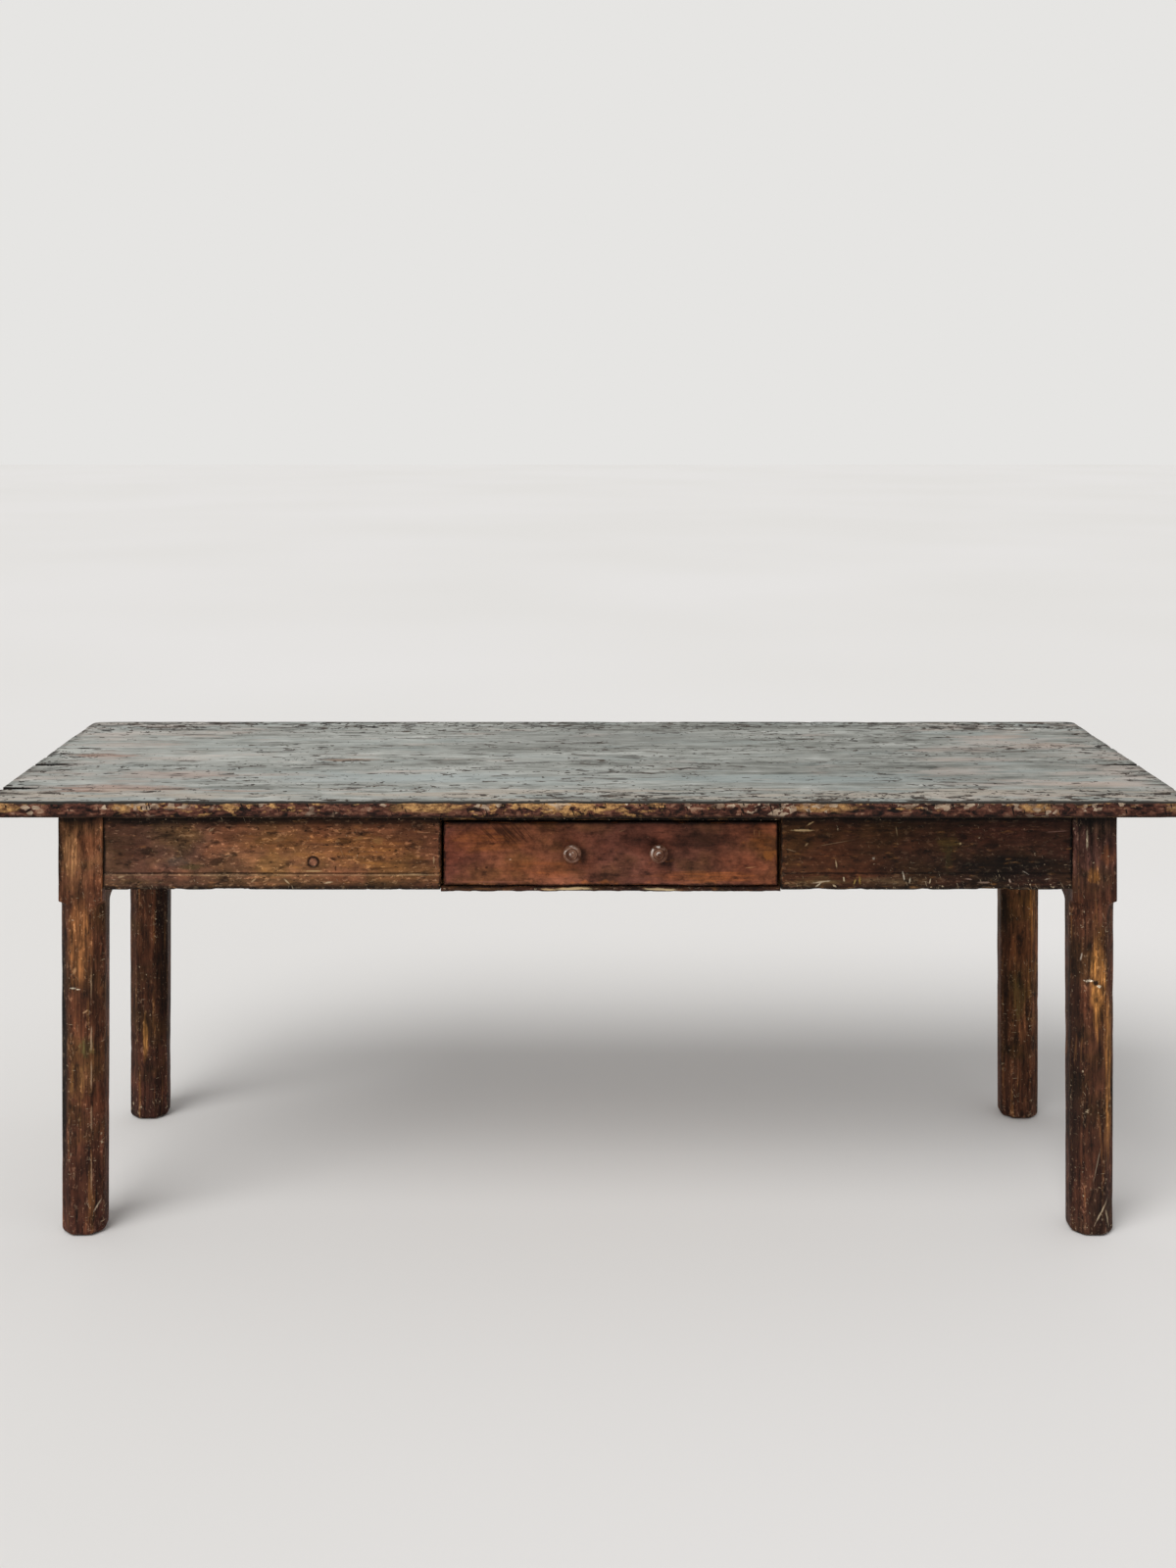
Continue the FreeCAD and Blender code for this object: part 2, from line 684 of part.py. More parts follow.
plug_x = f"{opening_left} - sizes.plug_from_opening"
plug_y = (front_y[0], f"{front_y[0]} + sizes.plug_depth")
plug_z = f"{apron_low} + sizes.plug_height"
plug_hole = rod("plug_hole", "y", "sizes.plug_diameter + 2 * sizes.peg_slack", plug_x, plug_y, plug_z)
finish("apron_plug", rod("apron_plug", "y", "sizes.plug_diameter", plug_x, plug_y, plug_z))

for side, front_x in ((LEFT, (f"-{leg_in_x}", opening_left)), (RIGHT, (opening_right, leg_in_x))):
    label = f"front_apron_{SIDE_WORD[side]}"
    board = box(f"{label}_board", front_x, front_y, apron_z)
    blank = fused(f"{label}_blank", [board, tenons[side, FRONT, "long"]])
    tools = [peg_hole_set, bead_line, lap_seat_set, housing_set, top_nail_holes]
    if side == LEFT:
        tools.append(plug_hole)
    finish(label, cut(label, blank, tools))

back_board = box("back_apron_board", (f"-{leg_in_x}", leg_in_x), (apron_in_y, apron_out_y), apron_z)
back_tenons = [tenons[LEFT, BACK, "long"], tenons[RIGHT, BACK, "long"]]
back_tenoned = fused("back_apron_blank", [back_board, *back_tenons])
finish("back_apron", cut("back_apron", back_tenoned, [peg_hole_set, housing_set, top_nail_holes]))

for side in (LEFT, RIGHT):
    label = f"end_apron_{SIDE_WORD[side]}"
    end_x = span(side, apron_in_x, apron_out_x)
    board = box(f"{label}_board", end_x, (f"-{leg_in_y}", leg_in_y), apron_z)
    blank = fused(f"{label}_blank", [board, tenons[side, FRONT, "short"], tenons[side, BACK, "short"]])
    finish(label, cut(label, blank, [peg_hole_set, top_nail_holes]))


# Drawer: sides with tails, front with sockets, back in dados, panel in grooves

side_in_left = f"({drawer_left} + sizes.drawer_side_thickness)"
side_in_right = f"({drawer_right} - sizes.drawer_side_thickness)"
tail_end_y = f"({drawer_front_in_y} - sizes.tail_length)"
tail_pitch = f"(({drawer_side_high} - {drawer_low}) / {TAIL_COUNT})"
panel_z = (panel_low, panel_high)
groove_z = widened(panel_z, "sizes.drawer_slack")
back_y = (drawer_back_in_y, drawer_back_out_y)
back_z = (f"{panel_high} + sizes.drawer_slack", f"{drawer_side_high} - sizes.drawer_back_drop")

panel_nail_first = f"({side_in_left} + sizes.panel_nail_inset)"
panel_nail_pitch = f"(({side_in_right} - {side_in_left} - 2 * sizes.panel_nail_inset) / {PANEL_NAILS - 1})"
panel_nail_places = [
    (f"{panel_nail_first} + {number} * {panel_nail_pitch}",
     f"({drawer_back_in_y} + {drawer_back_out_y}) / 2", panel_low, 1)
    for number in range(PANEL_NAILS)
]
drawer_nails, drawer_nail_holes = nails(
    "drawer_nails", panel_nail_places,
    "sizes.small_nail_head_diameter", "sizes.small_nail_shank_diameter", "sizes.panel_nail_length")
finish("drawer_nails", drawer_nails)

sockets = []
for side, outer, inner in ((LEFT, drawer_left, side_in_left), (RIGHT, drawer_right, side_in_right)):
    label = f"drawer_side_{SIDE_WORD[side]}"
    side_x = ordered(-side, outer, inner)
    side_y = (drawer_front_in_y, drawer_end_y)
    pieces = [box(f"{label}_board", side_x, side_y, (drawer_low, drawer_side_high))]
    for number in range(TAIL_COUNT):
        tail_low = f"({drawer_low} + {number} * {tail_pitch} + sizes.pin_width / 2)"
        tail_z = (tail_low, f"({tail_low} + {tail_pitch} - sizes.pin_width)")
        name = f"{label}_tail_{number + 1}"
        pieces.append(tail(name, side_x, (tail_end_y, drawer_front_in_y), tail_z, "sizes.tail_flare"))
        sockets.append(tail(
            f"{name}_socket",
            widened(side_x, "sizes.drawer_slack"),
            (f"{tail_end_y} - sizes.drawer_slack", drawer_front_in_y),
            widened(tail_z, "sizes.drawer_slack"), "sizes.tail_flare"))
    groove_x = ordered(side, inner, f"{inner} + {side} * (sizes.drawer_groove + sizes.drawer_slack)")
    dado_x = ordered(side, inner, f"{inner} + {side} * (sizes.drawer_dado + sizes.drawer_slack)")
    groove = box(f"{label}_groove", groove_x, (tail_end_y, drawer_end_y), groove_z)
    dado_y = widened(back_y, "sizes.drawer_slack")
    dado = box(f"{label}_dado", dado_x, dado_y, (panel_high, drawer_side_high))
    finish(label, cut(label, fused(f"{label}_blank", pieces), [groove, dado]))

back_x = (f"{side_in_left} - sizes.drawer_dado", f"{side_in_right} + sizes.drawer_dado")
back_blank = box("drawer_back_blank", back_x, back_y, back_z)
finish("drawer_back", cut("drawer_back", back_blank, [drawer_nail_holes]))
panel_x = (f"{side_in_left} - sizes.drawer_groove", f"{side_in_right} + sizes.drawer_groove")
panel_front_y = f"({drawer_front_in_y} - sizes.drawer_groove)"
panel_y = (panel_front_y, drawer_back_out_y)
panel = box("drawer_bottom_blank", panel_x, panel_y, panel_z)
finish("drawer_bottom", cut("drawer_bottom", panel, [drawer_nail_holes]))

knob_places = {
    side: f"(sizes.drawer_offset + sizes.knob_offset + {side} * sizes.knob_spacing / 2)"
    for side in (LEFT, RIGHT)
}
spigot_y = (drawer_face_y, drawer_front_in_y)
spigot_holes = [
    rod(f"knob_hole_{SIDE_WORD[side]}", "y", "sizes.knob_spigot_diameter + 2 * sizes.drawer_slack",
        knob_places[side], spigot_y, knob_level)
    for side in (LEFT, RIGHT)
]
front_width = f"({drawer_right} - {drawer_left})"
front_height = f"({drawer_high} - {drawer_low})"
front_body = new_body("drawer_front_blank", drawer_left, drawer_face_y, drawer_low)
front_corners = [("0", "0"), (front_width, "0"), (front_width, front_height), ("0", front_height)]
front_pad = pad(
    front_body, "drawer_front_pad", outline(front_body, "drawer_front_outline", "XZ_Plane", front_corners),
    "sizes.drawer_front_thickness", reversed_way=True)
rounded(
    front_body, "drawer_front_arrises", front_pad, "sizes.drawer_front_round",
    lambda bounds: near(bounds.YMin, 0) and near(bounds.YMax, 0))
front_groove = box(
    "drawer_front_groove", widened(panel_x, "sizes.drawer_slack"),
    (f"{panel_front_y} - sizes.drawer_slack", drawer_front_in_y), groove_z)
front_tools = [compound("tail_sockets", sockets), front_groove, compound("knob_holes", spigot_holes)]
finish("drawer_front", cut("drawer_front", front_body, front_tools))


# Knobs: turned, with a spigot through the drawer front that a wedge spreads

wedge_y = (f"{drawer_front_in_y} - sizes.wedge_length", drawer_front_in_y)
wedges = []
for side in (LEFT, RIGHT):
    label = f"knob_{SIDE_WORD[side]}"
    wedge_z = (f"{knob_level} - sizes.wedge_thickness / 2", f"{knob_level} + sizes.wedge_thickness / 2")
    half_wide = "sqrt(pow(sizes.knob_spigot_diameter; 2) - pow(sizes.wedge_thickness; 2)) / 2"
    wedge_x = (f"{knob_places[side]} - {half_wide}", f"{knob_places[side]} + {half_wide}")
    slim = "(sizes.wedge_thickness - sizes.wedge_tip) / 2"
    wedges.append(tail(f"{label}_wedge", wedge_x, wedge_y, wedge_z, slim, wide_at_low_y=False))
    slot = tail(
        f"{label}_slot", widened(wedge_x, "sizes.knob_spigot_diameter"),
        (f"{wedge_y[0]} - sizes.wedge_slack", wedge_y[1]), widened(wedge_z, "sizes.wedge_slack"), slim,
        wide_at_low_y=False)
    neck_start = "(sizes.knob_collar_height + (sizes.knob_collar_diameter - sizes.knob_neck_diameter) / 2)"
    neck_end = f"({neck_start} + sizes.knob_neck_length)"
    swell = "((sizes.knob_diameter - sizes.knob_neck_diameter) / 2)"
    widest = f"({neck_end} + {swell})"
    rim = "(sizes.knob_projection - sizes.knob_rim_drop)"
    rim_in = "((sizes.knob_diameter - sizes.knob_face_diameter) / 2)"
    rim_radius = f"((pow({rim_in}; 2) + pow({rim} - {widest}; 2)) / (2 * {rim_in}))"
    button = "(sizes.knob_button_diameter / 2)"
    button_start = "(sizes.knob_projection - sizes.knob_button_rise)"
    button_radius = f"((pow({button}; 2) + pow(sizes.knob_button_rise; 2)) / (2 * sizes.knob_button_rise))"
    turned = [
        ("0", "sizes.drawer_front_thickness"),
        ("sizes.knob_spigot_diameter / 2", "sizes.drawer_front_thickness"),
        ("sizes.knob_spigot_diameter / 2", "0"),
        ("sizes.knob_collar_diameter / 2", "0"),
        ("sizes.knob_collar_diameter / 2", "-sizes.knob_collar_height",
         "(sizes.knob_collar_diameter - sizes.knob_neck_diameter) / 2"),
        ("sizes.knob_neck_diameter / 2", f"-{neck_start}"),
        ("sizes.knob_neck_diameter / 2", f"-{neck_end}", f"-{swell}"),
        ("sizes.knob_diameter / 2", f"-{widest}", f"-{rim_radius}"),
        ("sizes.knob_face_diameter / 2", f"-{rim}"),
        ("sizes.knob_button_diameter / 2", f"-{button_start}", f"-{button_radius}"),
        ("0", "-sizes.knob_projection"),
    ]
    body = new_body(f"{label}_blank", knob_places[side], drawer_face_y, knob_level)
    turning = body.newObject("PartDesign::Revolution", f"{label}_turning")
    turning.Profile = outline(body, f"{label}_profile", "XY_Plane", turned)
    turning.ReferenceAxis = (origin_feature(body, "Y_Axis"), [""])
    turning.Angle = FULL_TURN
    doc.recompute()
    finish(label, cut(label, body, [slot]))
finish("knob_wedges", compound("knob_wedges", wedges))


# Check every object, then write one file per sub-part

doc.recompute()
for item in doc.Objects:
    if "Invalid" in item.State or "Error" in item.State:
        raise RuntimeError(f"{item.Name} failed: {item.State}")
for piece in sub_parts:
    if piece.Shape.isNull() or not piece.Shape.isValid() or not piece.Shape.Solids:
        raise RuntimeError(f"{piece.Label} has no valid solid")
if len(sub_parts) > MAX_NODES:
    raise RuntimeError(f"{len(sub_parts)} sub-parts are too many")

os.makedirs("parts", exist_ok=True)
for piece in sub_parts:
    piece.Shape.exportStep(f"parts/{piece.Label}.step")
    print(f"{piece.Label}: {len(piece.Shape.Solids)} solid(s), {piece.Shape.Volume / 1000:.2f} cm3")
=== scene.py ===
"""Dresses a farmhouse table: worn plank top, stop-chamfered legs, dark frame and one drawer.

Every piece is built in metres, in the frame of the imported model: X to the right, Y to the back, Z up,
with the floor at zero. Sizes are written in millimetres and turned to metres where they are used.
"""

from __future__ import annotations

import json
import logging
import math
from dataclasses import dataclass, field
from enum import Enum

import bpy
import numpy as np
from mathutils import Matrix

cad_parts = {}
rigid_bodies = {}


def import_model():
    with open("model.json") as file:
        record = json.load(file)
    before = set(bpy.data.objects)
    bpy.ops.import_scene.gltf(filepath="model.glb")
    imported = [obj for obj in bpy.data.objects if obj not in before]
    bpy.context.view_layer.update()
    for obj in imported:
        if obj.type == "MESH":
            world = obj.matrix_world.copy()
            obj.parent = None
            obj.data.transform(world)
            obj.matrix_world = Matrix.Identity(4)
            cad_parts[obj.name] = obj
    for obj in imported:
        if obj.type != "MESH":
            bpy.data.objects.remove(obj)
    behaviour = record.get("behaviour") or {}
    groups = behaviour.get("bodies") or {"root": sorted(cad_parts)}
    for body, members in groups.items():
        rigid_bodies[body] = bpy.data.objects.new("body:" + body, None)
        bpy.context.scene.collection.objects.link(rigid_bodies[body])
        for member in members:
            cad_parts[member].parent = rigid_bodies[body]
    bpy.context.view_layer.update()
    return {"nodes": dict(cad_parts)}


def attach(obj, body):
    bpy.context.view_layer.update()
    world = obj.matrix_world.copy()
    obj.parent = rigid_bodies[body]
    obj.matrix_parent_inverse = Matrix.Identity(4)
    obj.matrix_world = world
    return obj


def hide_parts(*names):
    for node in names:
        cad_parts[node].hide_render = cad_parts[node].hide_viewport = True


LOG = logging.getLogger("farmhouse_table")
MM = 0.001

# Two points this close lie on the same face, in millimetres.
TOUCH = 0.01
# How far one step of a seed moves a pattern along X, Y and Z.
SEED_PACE = (7.3, 3.1, 5.7)
# A mark up to this size, in millimetres, needs fewer layers in its rim.
SMALL_MARK = 45.0

# Short names for the types that are written most.
Socket = bpy.types.NodeSocket
Material = bpy.types.Material
Pair = tuple[float, float]
Triple = tuple[float, float, float]
Colour = tuple[float, float, float, float]


class Axis(Enum):
    """The way the grain of a piece runs."""

    X = 0
    Y = 1
    Z = 2

    def drawn(self, long: float, across: float) -> Triple:
        """Size of a streak that is long this way and narrow the other two."""
        return tuple(long if axis is self else across for axis in Axis)


class Face(Enum):
    """The six faces of a board, as axis number and low (0) or high (1) end."""

    LEFT = (0, 0)
    RIGHT = (0, 1)
    FRONT = (1, 0)
    BACK = (1, 1)
    UNDER = (2, 0)
    TOP = (2, 1)


class Kind(Enum):
    """The nodes that are wanted most, as type name, usual settings and the output that is read."""

    MIX = ("ShaderNodeMix", {"data_type": "RGBA"}, 2)
    TINT = ("ShaderNodeMix", {"data_type": "RGBA", "blend_type": "MULTIPLY"}, 2)
    RAMP = ("ShaderNodeValToRGB", {}, 0)
    RANGE = ("ShaderNodeMapRange", {}, 0)
    STEP = ("ShaderNodeMapRange", {"interpolation_type": "SMOOTHSTEP"}, 0)
    ADD = ("ShaderNodeMath", {"operation": "ADD"}, 0)
    SUBTRACT = ("ShaderNodeMath", {"operation": "SUBTRACT"}, 0)
    MULTIPLY = ("ShaderNodeMath", {"operation": "MULTIPLY"}, 0)
    MULTIPLY_ADD = ("ShaderNodeMath", {"operation": "MULTIPLY_ADD"}, 0)
    DIVIDE = ("ShaderNodeMath", {"operation": "DIVIDE"}, 0)
    ABSOLUTE = ("ShaderNodeMath", {"operation": "ABSOLUTE"}, 0)


class Body(Enum):
    """The two bodies that pieces ride on."""

    TABLE = "table"
    DRAWER = "drawer"


def srgb(code: str) -> Colour:
    """Turn an sRGB hex colour to the linear colour that nodes take.

    Args:
        code: Six hex digits.

    Returns:
        Linear red, green and blue with an alpha of one.
    """
    channels = [int(code[i:i + 2], 16) / 255 for i in (0, 2, 4)]
    linear = [c / 12.92 if c <= 0.04045 else ((c + 0.055) / 1.055) ** 2.4 for c in channels]
    return (linear[0], linear[1], linear[2], 1.0)


def add_node(
    tree: bpy.types.NodeTree, kind: Kind | str, inputs: dict[int | str, object] | None = None,
    out: int | str = 0, stops: tuple[tuple[float, str], ...] = (), **settings: object,
) -> Socket | None:
    """Add one node with its settings and links.

    Args:
        tree: The node tree that takes the node.
        kind: A common node, or the type name of another.
        inputs: Value or socket for each input, by name or number.
        out: The output that is wanted, by name or number.
        stops: Places and hex colours of a colour ramp, where the node has one.
        settings: The node's own properties.

    Returns:
        The output socket that was asked for, or nothing for a node that ends a tree.
    """
    if isinstance(kind, Kind):
        kind, usual, out = kind.value
        settings = {**usual, **settings}
    made = tree.nodes.new(kind)
    for name, value in settings.items():
        setattr(made, name, value)
    for key, value in (inputs or {}).items():
        if isinstance(value, Socket):
            tree.links.new(value, made.inputs[key])
        else:
            made.inputs[key].default_value = value
    for number, (place, code) in enumerate(stops):
        row = made.color_ramp.elements
        stop = row[number] if number < 2 else row.new(place)
        stop.position = place
        stop.color = srgb(code)
    return made.outputs[out] if made.outputs else None


def new_object(name: str, mesh: bpy.types.Mesh) -> bpy.types.Object:
    """Put a mesh in the scene as an object at the origin.

    Args:
        name: The piece's name.
        mesh: Its mesh, with its place in the vertices.

    Returns:
        The new object.
    """
    made = bpy.data.objects.new(name, mesh)
    bpy.context.scene.collection.objects.link(made)
    return made


def run_tree(piece: bpy.types.Object, tree: bpy.types.NodeTree, values: dict[str, object]) -> None:
    """Run a Geometry Nodes tree on a piece and keep its result as a plain mesh.

    Args:
        piece: The object whose mesh goes in and is replaced.
        tree: The tree to run.
        values: The tree's inputs, by the names they have in the tree.
    """
    modifier = piece.modifiers.new(tree.name, "NODES")
    modifier.node_group = tree
    for item in tree.interface.items_tree:
        if item.in_out == "INPUT" and item.name in values:
            modifier[item.identifier] = values[item.name]
    graph = bpy.context.evaluated_depsgraph_get()
    made = bpy.data.meshes.new_from_object(
        piece.evaluated_get(graph), preserve_all_data_layers=True, depsgraph=graph
    )
    piece.modifiers.clear()
    spare = piece.data
    piece.data = made
    made.name = piece.name
    bpy.data.meshes.remove(spare)


def hand_over(piece: bpy.types.Object, body: Body, nodes: tuple[str, ...]) -> None:
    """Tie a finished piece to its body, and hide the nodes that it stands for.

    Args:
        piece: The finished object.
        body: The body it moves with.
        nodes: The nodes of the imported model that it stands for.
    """
    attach(piece, body.value)
    if nodes:
        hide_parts(*nodes)
    LOG.info("%s: %d faces on %s", piece.name, len(piece.data.polygons), body.value)


class NodeSheet:
    """What holds a tree of nodes: a finish, or a shape made by Geometry Nodes."""

    tree: bpy.types.NodeTree

    def add(
        self, kind: Kind | str, inputs: dict | None = None, out: int | str = 0, **settings: object
    ) -> Socket:
        """Add one node to this tree."""
        return add_node(self.tree, kind, inputs, out, **settings)


class ShapeTree(NodeSheet):
    """A Geometry Nodes tree with named inputs, which ends in plain geometry with its material."""

    def __init__(self, name: str, sockets: dict[str, str]) -> None:
        """Start the tree.

        Args:
            name: The tree's name.
            sockets: Its inputs, with what each one takes.
        """
        self.tree = bpy.data.node_groups.new(name, "GeometryNodeTree")
        sides = self.tree.interface
        for label, kind in sockets.items():
            sides.new_socket(name=label, in_out="INPUT", socket_type=f"NodeSocket{kind}")
        sides.new_socket(name="Geometry", in_out="OUTPUT", socket_type="NodeSocketGeometry")
        self.given = self.tree.nodes.new("NodeGroupInput").outputs

    def keep(self, geometry: Socket, name: str, value: object) -> Socket:
        """Store a measure on the points, for the finish to read."""
        inputs = {"Geometry": geometry, "Name": name, "Value": value}
        return self.add("GeometryNodeStoreNamedAttribute", inputs, data_type="FLOAT", domain="POINT")

    def close(self, geometry: Socket) -> None:
        """Make the shape plain, give it its material and lead it out.

        Args:
            geometry: The finished shape.
        """
        plain = self.add("GeometryNodeRealizeInstances", {"Geometry": geometry})
        dressed = {"Geometry": plain, "Material": self.given["Material"]}
        done = self.add("GeometryNodeSetMaterial", dressed)
        self.tree.links.new(done, self.tree.nodes.new("NodeGroupOutput").inputs["Geometry"])


class Coat(NodeSheet):
    """The nodes of one finish, laid over a piece's own coordinates."""

    def __init__(self, name: str) -> None:
        """Start an empty material with the piece's coordinates at hand.

        Args:
            name: The material's name.
        """
        self.material = bpy.data.materials.new(name)
        self.material.use_nodes = True
        self.tree = self.material.node_tree
        self.tree.nodes.clear()
        self.place = self.add("ShaderNodeTexCoord", out="Object")
        axes = self.add("ShaderNodeSeparateXYZ", {0: self.place}).node
        self.x, self.y, self.z = axes.outputs

    def mark(self, name: str) -> Socket:
        """Read one of the measures that the piece's mesh carries."""
        return self.add("ShaderNodeAttribute", out="Fac", attribute_name=name)

    def streaks(
        self, size: Triple, seed: float, detail: float = 4.0, rough: float = 0.55,
        turn: Triple = (0.0, 0.0, 0.0),
    ) -> Socket:
        """Uneven tone drawn out to a real size along each axis.

        Args:
            size: Length of one streak along X, Y and Z in millimetres.
            seed: Moves the pattern, so that no two are alike.
            detail: How many finer layers lie on it.
            rough: How strong these are.
            turn: Rotation of the pattern in radians.

        Returns:
            A value round 0.5.
        """
        pitch = tuple(1 / (length * MM) for length in size)
        shift = tuple(seed * pace for pace in SEED_PACE)
        place = self.place
        if any(turn):
            place = self.add("ShaderNodeMapping", {"Vector": place, "Rotation": turn})
        drawn = self.add("ShaderNodeMapping", {"Vector": place, "Scale": pitch, "Location": shift})
        return self.add(
            "ShaderNodeTexNoise", {"Vector": drawn, "Scale": 1.0, "Detail": detail, "Roughness": rough}
        )

    def flecks(
        self, size: Triple, level: float, seed: float, extra: Socket | None = None, soft: float = 0.025,
        turn: Triple = (0.0, 0.0, 0.0),
    ) -> Socket:
        """Ragged spots of a real size where a coat is lost or something sticks.

        Args:
            size: Size of one spot along X, Y and Z in millimetres.
            level: How high the uneven tone has to rise; higher is fewer spots.
            seed: Moves the pattern.
            extra: A value that adds to the tone, and so brings more spots.
            soft: Width of the spot's rim, in tone.
            turn: Rotation of the pattern in radians, for scratches that lie askew.

        Returns:
            A mask from 0 to 1.
        """
        tone = self.streaks(size, seed, detail=3.0, rough=0.6, turn=turn)
        if extra is not None:
            tone = self.add(Kind.ADD, {0: tone, 1: extra})
        return self.add(Kind.STEP, {0: tone, 1: level, 2: level + soft})

    def patch(
        self, centre: Triple, size: Triple, seed: float, ragged: float = 0.7, slope: float = 0.0
    ) -> Socket:
        """One soft-edged area at a place on the piece.

        Args:
            centre: Its middle in millimetres.
            size: How far it reaches each way in millimetres.
            seed: Moves the unevenness of its rim.
            ragged: How uneven the rim is.
            slope: How steeply its right end rises, in degrees, seen from the front.

        Returns:
            A mask from 0 to 1.
        """
        local = self.add(
            "ShaderNodeVectorMath", {0: self.place, 1: tuple(c * MM for c in centre)},
            operation="SUBTRACT",
        )
        if slope:
            turn = {"Vector": local, "Angle": math.radians(slope)}
            local = self.add("ShaderNodeVectorRotate", turn, rotation_type="Y_AXIS")
        local = self.add(
            "ShaderNodeVectorMath", {0: local, 1: tuple(1 / (s * MM) for s in size)},
            operation="MULTIPLY",
        )
        away = self.add("ShaderNodeVectorMath", {0: local}, out="Value", operation="LENGTH")
        detail = 7.0 if max(size) > SMALL_MARK else 3.0
        uneven = self.streaks(tuple(max(s * 0.5, 3.0) for s in size), seed, detail, 0.72)
        away = self.add(Kind.MULTIPLY_ADD, {0: uneven, 1: -2.4 * ragged, 2: away})
        return self.add(Kind.STEP, {0: away, 1: 1.0 - 1.2 * ragged, 2: 0.35 - 1.2 * ragged})

    def cover(
        self, colour: Socket, mask: Socket, over: Socket | Colour, strength: Socket | float
    ) -> Socket:
        """Lay a thin coat of another colour over the finish so far, where a mask lets it."""
        mask = self.add(Kind.MULTIPLY, {0: mask, 1: strength})
        return self.add(Kind.MIX, {0: mask, 6: colour, 7: over})

    def close(
        self, colour: Socket, roughness: Socket, height: Socket, lift: float, specular: float
    ) -> Material:
        """Lead the finish into its shader.

        Args:
            colour: The colour.
            roughness: The roughness.
            height: The relief that is too fine for the mesh.
            lift: How high that relief stands in millimetres.
            specular: Strength of the gloss.

        Returns:
            The finished material.
        """
        bump = self.add("ShaderNodeBump", {"Strength": 1.0, "Distance": lift * MM, "Height": height})
        shader = self.add(
            "ShaderNodeBsdfPrincipled",
            {
                "Base Color": colour,
                "Roughness": roughness,
                "Normal": bump,
                "Specular IOR Level": specular,
            },
        )
        self.add("ShaderNodeOutputMaterial", {"Surface": shader})
        return self.material


@dataclass(frozen=True)
class ColourPatch:
    """A place on a finish where its colour differs, as a stain, wear, painted shade or painted highlight;
    sizes in millimetres.
    """

    centre: Triple
    size: Triple
    colour: str
    strength: float = 0.8
    ragged: float = 0.7
    grainy: float = 0.6
    slope: float = 0.0


def fine_mark(place: Triple, reach: Pair, colour: str, slope: float = 0.0, strength: float = 0.85) -> ColourPatch:
    """A scratch, nick, chip or painted highlight line over all other wear; slope in degrees, other sizes
    in millimetres.
    """
    return ColourPatch(place, (reach[0], 20.0, reach[1]), colour, strength, 0.65, 0.15, slope)


